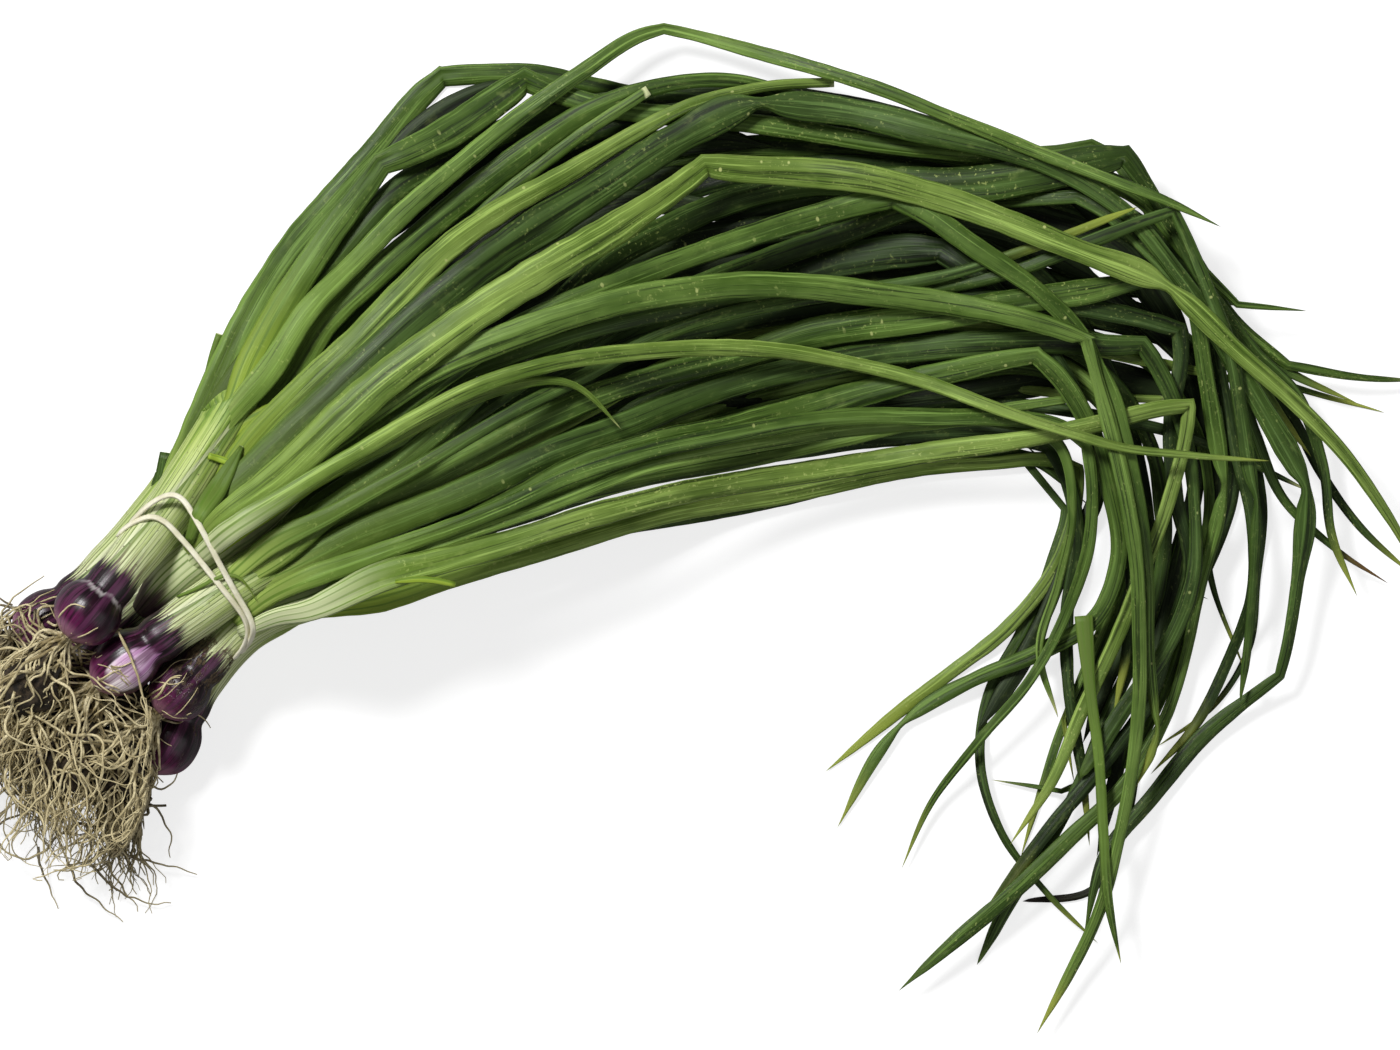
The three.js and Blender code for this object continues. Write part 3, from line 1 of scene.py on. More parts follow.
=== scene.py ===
"""A bunch of red spring onions lying on a white table.

Six onions with round purple bulbs, their tangled roots and their long hollow leaves, held by a
rubber band that goes round the stems twice.  The leaves arch over to the right, are bent over and
pinched where they fold, and hang back in a loose fringe of pale and dried tips.
"""

import logging
import math
import random
from dataclasses import dataclass, field
from enum import Enum
from typing import Any, Iterable, Optional, Sequence, Union

import bmesh
import bpy
import numpy as np
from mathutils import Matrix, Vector, noise
from mathutils.bvhtree import BVHTree


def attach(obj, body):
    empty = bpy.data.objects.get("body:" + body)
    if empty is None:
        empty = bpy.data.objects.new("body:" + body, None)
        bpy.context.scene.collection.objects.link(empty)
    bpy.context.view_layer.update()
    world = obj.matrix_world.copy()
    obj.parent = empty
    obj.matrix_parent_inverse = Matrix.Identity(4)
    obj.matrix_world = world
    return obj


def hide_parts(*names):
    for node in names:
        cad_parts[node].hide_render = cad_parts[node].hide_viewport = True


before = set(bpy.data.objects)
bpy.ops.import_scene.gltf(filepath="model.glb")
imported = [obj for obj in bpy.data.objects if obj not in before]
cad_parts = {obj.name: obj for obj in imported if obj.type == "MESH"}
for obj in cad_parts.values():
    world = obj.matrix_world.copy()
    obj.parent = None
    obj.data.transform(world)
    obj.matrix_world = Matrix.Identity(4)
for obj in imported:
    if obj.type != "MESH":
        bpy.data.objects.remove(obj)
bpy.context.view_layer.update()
LOG = logging.getLogger("spring_onions")
MM = 0.001
SHIFT = np.array([1.379, 1.251]) * MM      # where the camera looks down, from the middle of the bunch

RGB = tuple[float, float, float]
Socket = bpy.types.NodeSocket
Feed = Union[float, RGB, Socket]           # what a socket can be given
Number = Union[float, np.ndarray]
LEAST_HEIGHT = 0.0001                      # nothing dips lower than this towards the table, in metres
WRAP_RUN = 0.08                            # length of stem over which a sheath's edge gains its turns


def colour(red: int, green: int, blue: int) -> RGB:
    """Turn a screen colour into the linear one that shaders use.

    Args:
        red: Red, 0 to 255.
        green: Green, 0 to 255.
        blue: Blue, 0 to 255.

    Returns:
        The three linear parts, 0 to 1.
    """
    parts = (red / 255, green / 255, blue / 255)
    return tuple(p / 12.92 if p <= 0.04045 else ((p + 0.055) / 1.055) ** 2.4 for p in parts)


def shade(rgb: RGB, times: float, plus: float = 0.0) -> RGB:
    """Make a colour darker or lighter."""
    return tuple(min(1.0, times * part + plus) for part in rgb)


def smooth(low: float, high: float, value: Number) -> Number:
    """Ease from 0 at low to 1 at high."""
    t = np.clip((np.asarray(value, dtype=float) - low) / (high - low), 0, 1)
    return t * t * (3 - 2 * t)


def wander(at: np.ndarray, seed: float, row: float = 0.0) -> np.ndarray:
    """Smooth random values from -1 to 1 along a line.

    Args:
        at: Places along the line, one wave a unit or so.
        seed: Picks one line among many.
        row: A second direction, for values that change across as well.

    Returns:
        One value for each place.
    """
    return np.array([noise.noise(Vector((float(s), seed * 7.31, row))) * 1.6 for s in at])


# ---- runs of sections ---------------------------------------------------------------------------
@dataclass
class Spine:
    """A run of oval sections along a piece, in metres, from its root end to its tip.

    Attributes:
        centre: Middle of each section.
        wide: Half width of each section, sideways.
        high: Half height of each section.
    """

    centre: np.ndarray
    wide: np.ndarray
    high: np.ndarray

    @classmethod
    def of_node(cls, name: str, start: Sequence[float]) -> "Spine":
        """Read the sections of a CAD solid.

        Args:
            name: The node, a tube of equal rings that is closed at both ends by a fan.
            start: A point near the end that comes first.

        Returns:
            The solid's sections in order.
        """
        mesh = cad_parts[name].data
        raw = np.array([v.co for v in mesh.vertices])
        keys = {}
        index = [keys.setdefault(tuple(np.round(p / 2e-6).astype(int)), len(keys)) for p in raw]
        points = np.zeros((len(keys), 3))
        points[index] = raw
        near = [set() for _ in keys]
        for face in mesh.polygons:
            ring = [index[v] for v in face.vertices]
            for a, b in zip(ring, ring[1:] + ring[:1]):
                near[a].add(b)
                near[b].add(a)

        def middling(v: int) -> float:
            """How far a point is from the middle of its neighbours, against their distance."""
            around = points[list(near[v])]
            reach = np.linalg.norm(around - points[v], axis=1).mean()
            return np.linalg.norm(around.mean(axis=0) - points[v]) / reach

        ends = sorted(range(len(points)), key=middling)[:2]
        first = min(ends, key=lambda v: np.linalg.norm(points[v] - np.array(start)))
        seen, ring = {first}, sorted(near[first])
        centres, wides, highs = [], [], []
        while len(ring) > 1:
            around = points[ring]
            middle = around.mean(axis=0)
            centres.append(middle)
            wides.append(np.linalg.norm((around - middle)[:, :2], axis=1).max())
            sides = len(ring)
            share = math.sin(2 * math.pi * round(sides / 4) / sides)
            highs.append(np.abs(around[:, 2] - middle[2]).max() / share)
            seen.update(ring)
            ring = sorted(set().union(*(near[v] for v in ring)) - seen)
        return cls(np.array(centres), np.array(wides), np.array(highs))

    def stations(self) -> np.ndarray:
        """Distance along the run at each section."""
        steps = np.linalg.norm(np.diff(self.centre, axis=0), axis=1)
        return np.concatenate([[0.0], np.cumsum(steps)])

    def kinks(self, least: float = 24.0) -> list[int]:
        """Find the narrow sections at which the run is bent over.

        Args:
            least: Smallest turn in plan that counts, in degrees.

        Returns:
            The numbers of those sections.
        """
        found = []
        for i in range(1, len(self.centre) - 1):
            a = self.centre[i] - self.centre[i - 1]
            b = self.centre[i + 1] - self.centre[i]
            turn = math.atan2(a[0] * b[1] - a[1] * b[0], a[0] * b[0] + a[1] * b[1])
            pinched = self.wide[i] < 0.8 * max(self.wide[i - 1], self.wide[i + 1])
            if abs(math.degrees(turn)) > least and pinched:
                found.append(i)
        return found

    def resampled(self, step: float) -> tuple["Spine", np.ndarray, list[float]]:
        """Round the run off, but keep the corners at its kinks.

        Args:
            step: Distance between the new sections.

        Returns:
            The new run, the distance along it at each section, and the places of its kinks.
        """
        s = self.stations()
        corners = self.kinks()
        count = max(8, int(s[-1] / step) + 1)
        at = np.unique(np.concatenate([np.linspace(0, s[-1], count), s[corners]]))
        table = np.column_stack([self.centre, self.wide, self.high])
        for i in corners:
            table[i, 3] = 0.5 * (table[i - 1, 3] + table[i + 1, 3])
        slopes = np.gradient(table, s, axis=0)
        before, after = slopes.copy(), slopes.copy()
        for i in corners:
            before[i] = (table[i] - table[i - 1]) / (s[i] - s[i - 1])
            after[i] = (table[i + 1] - table[i]) / (s[i + 1] - s[i])
        k = np.clip(np.searchsorted(s, at, side="right") - 1, 0, len(s) - 2)
        h = (s[k + 1] - s[k])[:, None]
        u = ((at - s[k]))[:, None] / h
        out = ((2 * u**3 - 3 * u**2 + 1) * table[k] + (u**3 - 2 * u**2 + u) * h * after[k]
               + (3 * u**2 - 2 * u**3) * table[k + 1] + (u**3 - u**2) * h * before[k + 1])
        out[:, 3:] = np.maximum(out[:, 3:], 0.0002)
        return Spine(out[:, :3], out[:, 3], out[:, 4]), at, list(s[corners])


@dataclass
class Shell:
    """Rings of points that become one closed mesh with two UV maps.

    Attributes:
        rings: Points, shaped ring by place round it by 3.
        along: Distance along the piece at each ring, for the first UV map.
        girth: Distance round the piece that the second coordinate of that map runs over.
        share: Share of the length at each ring, for the second map.
        seed: A number from 0 to 1 of this piece's own, for the second map.
    """

    rings: np.ndarray
    along: np.ndarray
    girth: float
    share: np.ndarray
    seed: float = 0.5

    def build(self, name: str) -> bpy.types.Object:
        """Make the mesh and its object.

        Args:
            name: Name of the piece.

        Returns:
            The new object, with its faces pointing out.
        """
        count, sides = self.rings.shape[:2]
        points = np.concatenate([self.rings.reshape(-1, 3), self.rings[0].mean(axis=0)[None],
                                 self.rings[-1].mean(axis=0)[None]])
        j, k = np.meshgrid(np.arange(count - 1), np.arange(sides), indexing="ij")
        nxt = (k + 1) % sides
        quads = np.stack([j * sides + k, (j + 1) * sides + k, (j + 1) * sides + nxt, j * sides + nxt],
                         axis=-1).reshape(-1, 4)
        rows = np.stack([j, j + 1, j + 1, j], axis=-1).reshape(-1)
        turns = np.stack([k, k, k + 1, k + 1], axis=-1).reshape(-1)
        around = np.arange(sides)
        low, top = count * sides, count * sides + 1
        fans, rows_f, turns_f = [], [], []
        for hub, ring in ((low, 0), (top, count - 1)):
            a, b = ring * sides + around, ring * sides + (around + 1) % sides
            pair = (a, b) if ring == 0 else (b, a)
            fans.append(np.stack([np.full(sides, hub), *pair], axis=-1))
            rows_f.append(np.full(3 * sides, ring))
            turns_f.append(np.stack([around + 0.5, around + (0 if ring == 0 else 1),
                                     around + (1 if ring == 0 else 0)], axis=-1).reshape(-1))
        faces = quads.tolist() + np.concatenate(fans).tolist()
        rows = np.concatenate([rows, *rows_f])
        turns = np.concatenate([turns, *turns_f]) / sides
        tri = points[quads]
        centre = points.mean(axis=0)
        volume = np.einsum("ij,ij->i", tri[:, 0] - centre, np.cross(tri[:, 1] - tri[:, 0], tri[:, 2] - tri[:, 0])
                           + np.cross(tri[:, 2] - tri[:, 0], tri[:, 3] - tri[:, 0])).sum()
        mesh = bpy.data.meshes.new(name)
        mesh.from_pydata(points.tolist(), [], faces)
        skin = mesh.uv_layers.new(name="skin")
        place = mesh.uv_layers.new(name="place")
        skin.data.foreach_set("uv", np.column_stack([self.along[rows], turns * self.girth]).ravel())
        place.data.foreach_set("uv", np.column_stack([self.share[rows], np.full(len(rows), self.seed)]).ravel())
        if volume < 0:
            mesh.flip_normals()
        mesh.shade_smooth()
        mesh.validate()
        obj = bpy.data.objects.new(name, mesh)
        bpy.context.scene.collection.objects.link(obj)
        return obj


def frames_along(centre: np.ndarray, blur: int = 2) -> tuple[np.ndarray, np.ndarray, np.ndarray]:
    """Heading, level sideways and upward directions along a run.

    Args:
        centre: Middle of each section.
        blur: Sections on each side over which the heading is averaged.

    Returns:
        Three arrays of unit vectors.
    """
    heading = np.gradient(centre, axis=0)
    heading /= np.linalg.norm(heading, axis=1)[:, None] + 1e-12
    if blur:
        padded = np.pad(heading, ((blur, blur), (0, 0)), mode="edge")
        heading = sum(padded[i:i + len(centre)] for i in range(2 * blur + 1))
        heading /= np.linalg.norm(heading, axis=1)[:, None] + 1e-12
    side = np.column_stack([-heading[:, 1], heading[:, 0], np.zeros(len(centre))])
    side /= np.linalg.norm(side, axis=1)[:, None] + 1e-12
    return heading, side, np.cross(heading, side)


def mitred(rings: np.ndarray, centre: np.ndarray, corner: int) -> None:
    """Cut two runs of rings off along the plane halfway between them, so that they meet in a fold.

    Args:
        rings: Points, shaped ring by place round it by 3; changed in place.
        centre: Middle of each ring.
        corner: The ring at the fold, which still faces along the first run.
    """
    before, after = centre[corner] - centre[corner - 1], centre[corner + 1] - centre[corner]
    before, after = before / np.linalg.norm(before), after / np.linalg.norm(after)
    plane = (before + after) / np.linalg.norm(before + after)
    for first, last, way, sign in ((corner - 6, corner, before, 1), (corner + 1, corner + 7, after, -1)):
        for i in range(max(first, 0), min(last, len(rings))):
            past = (rings[i] - centre[corner]) @ plane
            move = np.where(past * sign > 0, past, 0.0)
            rings[i] -= (move / (way @ plane))[:, None] * way
    past = (rings[corner] - centre[corner]) @ plane
    rings[corner] -= (past / (before @ plane))[:, None] * before


def finish_piece(obj: bpy.types.Object, slot: str, nodes: Iterable[str], *materials: bpy.types.Material) -> None:
    """Dress a piece and tie it to the bunch.

    Args:
        obj: The piece.
        slot: Not used.
        nodes: CAD nodes that it stands for.
        materials: What it is made of.
    """
    obj.data.materials.clear()
    for material in materials:
        obj.data.materials.append(material)
    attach(obj, "root")
    if nodes:
        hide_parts(*nodes)
    LOG.info("%s: %d faces", obj.name, len(obj.data.polygons))


# ---- finishes -----------------------------------------------------------------------------------
class Graph:
    """Short hand for laying down and joining the nodes of one material."""

    def __init__(self, name: str) -> None:
        """Start a material with an empty Principled shader.

        Args:
            name: Name of the material.
        """
        self.material = bpy.data.materials.new(name)
        self.material.use_nodes = True
        self.tree = self.material.node_tree
        self.tree.nodes.clear()
        out = self.tree.nodes.new("ShaderNodeOutputMaterial")
        self.shader = self.tree.nodes.new("ShaderNodeBsdfPrincipled")
        self.tree.links.new(self.shader.outputs[0], out.inputs["Surface"])

    def node(self, kind: str, values: dict, **settings: Any) -> bpy.types.Node:
        """Add a node.

        Args:
            kind: Blender's name for it.
            values: Sockets to feed, by name or index, with numbers or other sockets.
            settings: Attributes of the node itself.

        Returns:
            The new node.
        """
        made = self.tree.nodes.new(kind)
        for key, value in settings.items():
            setattr(made, key, value)
        for key, value in values.items():
            self.feed(made.inputs[key], value)
        return made

    def feed(self, socket: Socket, value: Feed) -> None:
        """Link a socket to another, or set its number or colour.

        Args:
            socket: The input.
            value: An output, a number or a colour.
        """
        if isinstance(value, bpy.types.NodeSocket):
            self.tree.links.new(value, socket)
        elif isinstance(value, tuple) and len(value) == 3 and socket.type == "RGBA":
            socket.default_value = (*value, 1.0)
        else:
            socket.default_value = value

    def uv(self, name: str) -> tuple[Socket, Socket]:
        """The two coordinates of one of the piece's UV maps."""
        node = self.node("ShaderNodeUVMap", {}, uv_map=name)
        parts = self.node("ShaderNodeSeparateXYZ", {0: node.outputs[0]})
        return parts.outputs[0], parts.outputs[1]

    def math(self, operation: str, *values: Feed) -> Socket:
        """Combine up to three numbers."""
        return self.node("ShaderNodeMath", dict(enumerate(values)), operation=operation).outputs[0]

    def times(self, first: Feed, second: Feed) -> Socket:
        """Multiply two numbers."""
        return self.math("MULTIPLY", first, second)

    def swing(self, value: Feed, reach: Feed) -> Socket:
        """Turn a value from 0 to 1 into one that swings either way by half of reach."""
        return self.times(self.math("SUBTRACT", value, 0.5), reach)

    def point(self, x: Feed, y: Feed, z: Feed = 0.0) -> Socket:
        """Join three numbers into a place."""
        return self.node("ShaderNodeCombineXYZ", {0: x, 1: y, 2: z}).outputs[0]

    def ease(self, value: Feed, low: float, high: float, bottom: float = 0.0, top: float = 1.0) -> Socket:
        """Ease a number from bottom to top while it goes from low to high."""
        node = self.node("ShaderNodeMapRange", {0: value, 1: low, 2: high, 3: bottom, 4: top},
                         interpolation_type="SMOOTHSTEP")
        return node.outputs[0]

    def noise(self, place: Socket, scale: float = 1.0, detail: float = 2.0, rough: float = 0.5) -> Socket:
        """Soft noise from 0 to 1."""
        return self.node("ShaderNodeTexNoise", {"Vector": place, "Scale": scale, "Detail": detail,
                                                "Roughness": rough}).outputs[0]

    def mix(self, share: Feed, first: Feed, second: Feed) -> Socket:
        """Mix two colours by a share of the second."""
        return self.node("ShaderNodeMix", {0: share, 6: first, 7: second}, data_type="RGBA").outputs[2]

    def bump(self, height: Socket, depth: float, strength: float = 1.0) -> Socket:
        """Turn a height from 0 to 1 into a surface of that depth."""
        return self.node("ShaderNodeBump", {"Height": height, "Distance": depth, "Strength": strength}).outputs[0]


class Tone(Enum):
    """Greens of the leaves: dark side, light side."""

    SHADED = (18, 28, 8), (32, 46, 16)
    DARK = (26, 41, 11), (46, 66, 25)
    DEEP = (36, 54, 14), (64, 88, 34)
    MID = (47, 70, 18), (85, 111, 45)
    FRESH = (62, 87, 28), (103, 129, 58)
    BRIGHT = (80, 105, 35), (123, 146, 68)
    LIME = (108, 128, 32), (152, 170, 62)
    SHEATH = (164, 182, 98), (216, 222, 172)


class Tip(Enum):
    """How a leaf ends: colour at the very end and the length over which it gets there."""

    GREEN = (74, 96, 38), 0.010
    YELLOW = (150, 160, 68), 0.022
    GOLD = (142, 156, 60), 0.060
    PALE = (182, 184, 124), 0.012
    BROWN = (112, 84, 48), 0.020
    BLACK = (26, 19, 12), 0.034
    CUT = (206, 212, 160), 0.003


class Base(Enum):
    """Colour of a leaf where it leaves its stem, and how far that colour reaches."""

    WHITE = (206, 214, 166), 0.058
    PALE = (160, 182, 92), 0.030
    LIME = (146, 170, 56), 0.075
    GREEN = (112, 138, 60), 0.030
    NONE = (34, 50, 16), 0.002


@dataclass(frozen=True)
class LeafFinish:
    """Waxy green skin with fine lines along it.

    Attributes:
        tone: Green of the blade.
        tip: How the leaf ends.
        base: Colour near the stem.
        mottled: Strength of the pale flecks, 0 to 1.
        spots: Whether small brown spots lie on it.
        stain: How far the purple of the bulb runs up it, in metres.
    """

    tone: Tone = Tone.DEEP
    tip: Tip = Tip.YELLOW
    base: Base = Base.PALE
    mottled: float = 0.3
    spots: bool = False
    stain: float = 0.0

    def material(self) -> bpy.types.Material:
        """Make the material, or find it where another leaf has the same."""
        name = (f"leaf_{self.tone.name}_{self.tip.name}_{self.base.name}_{self.mottled:.1f}"
                f"{'_spots' if self.spots else ''}{'_stained' if self.stain else ''}").lower()
        return bpy.data.materials.get(name) or LeafSkin(self, name).material()


class LeafSkin:
    """The nodes of one leaf material, laid down layer by layer.

    Attributes:
        finish: What the leaf looks like.
        g: The nodes.
        along: Distance from the stem, in metres.
        around: Distance round the leaf, in metres.
        share: Share of the leaf's length.
        own: A number of the leaf's own, so that no two are alike.
        fibres: Finest lines.
        thread: Coarser lines.
        bands: Broad stripes.
        cloud: Soft blotches.
    """

    def __init__(self, finish: LeafFinish, name: str) -> None:
        """Read the leaf's UV maps and make the noises that the layers share.

        Args:
            finish: What the leaf looks like.
            name: Name of the material.
        """
        self.finish, self.g = finish, Graph(name)
        self.along, self.around = self.g.uv("skin")
        self.share, seed = self.g.uv("place")
        self.own = self.g.times(seed, 23.0)
        self.fibres = self.lines(9.0, 820.0, 4, 0.8)
        self.thread = self.lines(5.0, 430.0, 2, 0.6)
        self.bands = self.lines(9.0, 330.0, 2, 0.5)
        self.cloud = self.lines(34.0, 60.0, 3, 0.6)

    def place(self, along: float, around: float) -> Socket:
        """Place on the leaf, with that many units a metre along and round it."""
        return self.g.point(self.g.times(self.along, along), self.g.times(self.around, around), self.own)

    def lines(self, along: float, around: float, detail: float, rough: float) -> Socket:
        """Noise with that many waves a metre along the leaf and round it."""
        return self.g.noise(self.place(along, around), 1, detail, rough)

    def dots(self, along: float, around: float, empty: float, full: float, gone: float) -> Socket:
        """Round dots in some of the cells that the leaf is divided into.

        Args:
            along: Cells a metre along the leaf.
            around: Cells a metre round it.
            empty: Share of the cells without a dot.
            full: Distance from the middle of a cell at which a dot is full.
            gone: Distance at which it has faded out.

        Returns:
            1 on a dot and 0 off it.
        """
        g = self.g
        cells = g.node("ShaderNodeTexVoronoi", {"Vector": self.place(along, around), "Scale": 1.0})
        pick = g.node("ShaderNodeSeparateColor", {0: cells.outputs["Color"]}).outputs[0]
        return g.times(g.ease(cells.outputs["Distance"], gone, full), g.math("GREATER_THAN", pick, empty))

    def blade(self) -> Socket:
        """Blotched green with light and dark fibres.

        Returns:
            The colour.
        """
        g = self.g
        dark, light = (colour(*c) for c in self.finish.tone.value)
        blotch = g.math("ADD", g.times(self.bands, 0.4), g.times(self.cloud, 0.6))
        body = g.mix(g.ease(blotch, 0.34, 0.66), dark, light)
        body = g.mix(g.ease(self.fibres, 0.53, 0.64, 0.0, 0.8), body, shade(light, 1.7, 0.014))
        body = g.mix(g.ease(self.fibres, 0.47, 0.38, 0.0, 0.9), body, shade(dark, 0.30))
        body = g.mix(g.ease(self.thread, 0.60, 0.68, 0.0, 0.26), body, shade(light, 1.8, 0.03))
        return g.mix(g.ease(self.thread, 0.40, 0.32, 0.0, 0.40), body, shade(dark, 0.4))

    def flecked(self, body: Socket) -> Socket:
        """Add pale flecks, waxy streaks that are partly a painted sheen, and small dots.

        Args:
            body: Colour so far.

        Returns:
            The new colour.
        """
        g, strength = self.g, self.finish.mottled
        flecks, where = self.lines(700.0, 1500.0, 2, 0.6), self.lines(60.0, 120.0, 1, 0.5)
        pale = g.times(g.ease(flecks, 0.58, 0.76), g.ease(where, 0.42, 0.62, 0.0, strength * 1.3))
        body = g.mix(g.math("MINIMUM", pale, 0.6), body, colour(168, 182, 104))
        # Waxy bloom that is partly painted sheen: pale streaks in the green of the leaves' highlights.
        wax_and_sheen = self.lines(120.0, 420.0, 3, 0.7)
        body = g.mix(g.ease(wax_and_sheen, 0.56, 0.74, 0.0, 0.3 * strength + 0.08), body, colour(140, 158, 84))
        dot = g.times(self.dots(210.0, 260.0, 0.72, 0.08, 0.16),
                      g.ease(where, 0.46, 0.58, 0.0, min(0.85, 0.3 + strength)))
        return g.mix(dot, body, colour(186, 194, 122))

    def based(self, body: Socket) -> Socket:
        """Fade the green out towards the stem, with fine green lines in the pale part.

        Args:
            body: Colour so far.

        Returns:
            The new colour.
        """
        g = self.g
        tint, reach = self.finish.base.value
        edge = g.math("ADD", self.along, g.swing(self.bands, -0.05))
        pale = g.mix(g.ease(self.bands, 0.40, 0.62), colour(*tint), shade(colour(*tint), 0.66))
        wave = g.math("SINE", g.math("ADD", g.times(self.around, 5200.0), g.times(self.bands, 9.0)))
        line = g.times(g.ease(wave, 0.35, 0.95), g.ease(self.fibres, 0.34, 0.52, 0.3, 0.8))
        pale = g.mix(line, pale, colour(84, 116, 34))
        if self.finish.base is not Base.NONE:
            body = g.mix(g.ease(self.along, 0.045, 0.130, 0.30, 0.0), body, colour(126, 156, 60))
        return g.mix(g.ease(edge, reach * 0.4, reach + 0.018, 1.0, 0.0), body, pale)

    def tipped(self, body: Socket) -> Socket:
        """Turn the end of the leaf the colour of its tip.

        Args:
            body: Colour so far.

        Returns:
            The new colour.
        """
        g = self.g
        tint, reach = self.finish.tip.value
        rest = g.math("ADD", g.times(g.math("SUBTRACT", 1.0, self.share), 0.38), g.swing(self.cloud, 0.03))
        return g.mix(g.ease(rest, 0.0, reach, 1.0, 0.0), body, colour(*tint))

    def marked(self, body: Socket) -> Socket:
        """Add the purple stain and the brown spots, where the leaf has them.

        Args:
            body: Colour so far.

        Returns:
            The new colour.
        """
        g, stain = self.g, self.finish.stain
        if stain:
            ragged = g.math("ADD", self.along, g.swing(self.fibres, 1.6 * stain))
            purple = g.mix(g.ease(self.bands, 0.4, 0.6), colour(58, 22, 48), colour(112, 66, 100))
            body = g.mix(g.ease(ragged, stain, 0.5 * stain, 0.0, 0.85), body, purple)
        if self.finish.spots:
            body = g.mix(self.dots(46.0, 60.0, 0.8, 0.03, 0.05), body, colour(46, 30, 16))
        return body

    def material(self) -> bpy.types.Material:
        """Join the layers.

        Returns:
            The new material.
        """
        g = self.g
        body = self.marked(self.tipped(self.based(self.flecked(self.blade()))))
        g.feed(g.shader.inputs["Base Color"], body)
        g.feed(g.shader.inputs["Roughness"], g.ease(self.bands, 0.3, 0.7, 0.40, 0.55))
        g.shader.inputs["Specular IOR Level"].default_value = 0.18
        ribs = g.math("ADD", g.times(self.fibres, 0.7), g.times(self.bands, 0.5))
        g.feed(g.shader.inputs["Normal"], g.bump(ribs, 0.0007, 0.6))
        return g.material


@dataclass(frozen=True)
class OnionFinish:
    """Glossy purple bulb skin, a jagged dark collar and a pale stem with green veins.

    Attributes:
        neck: Distance from the root plate at which the purple gives way, in metres.
        patch: Middle of a pale patch of wear on the bulb as (distance along, share round), or nothing.
        soil: Amount of dry soil on the bulb, 0 to 1.
        green: Distance over which the stem turns green, in metres.
        jagged: How far the purple runs up some of the veins, in metres.
        film: Distance from the root plate at which a dry torn film ends, in metres, or 0 for none.
    """

    neck: float = 0.030
    patch: Optional[tuple[float, float]] = None
    soil: float = 0.0
    green: float = 0.060
    jagged: float = 0.026
    film: float = 0.0

    def material(self, name: str, wraps: Sequence[tuple[float, float]], length: float) -> bpy.types.Material:
        """Make the material.

        Args:
            name: Name of the material.
            wraps: Edges of the overlapping sheaths, as the onion has them.
            length: Distance from the root plate to the end of the stem, in metres.

        Returns:
            The new material.
        """
        return OnionSkin(self, name).material(wraps, length)


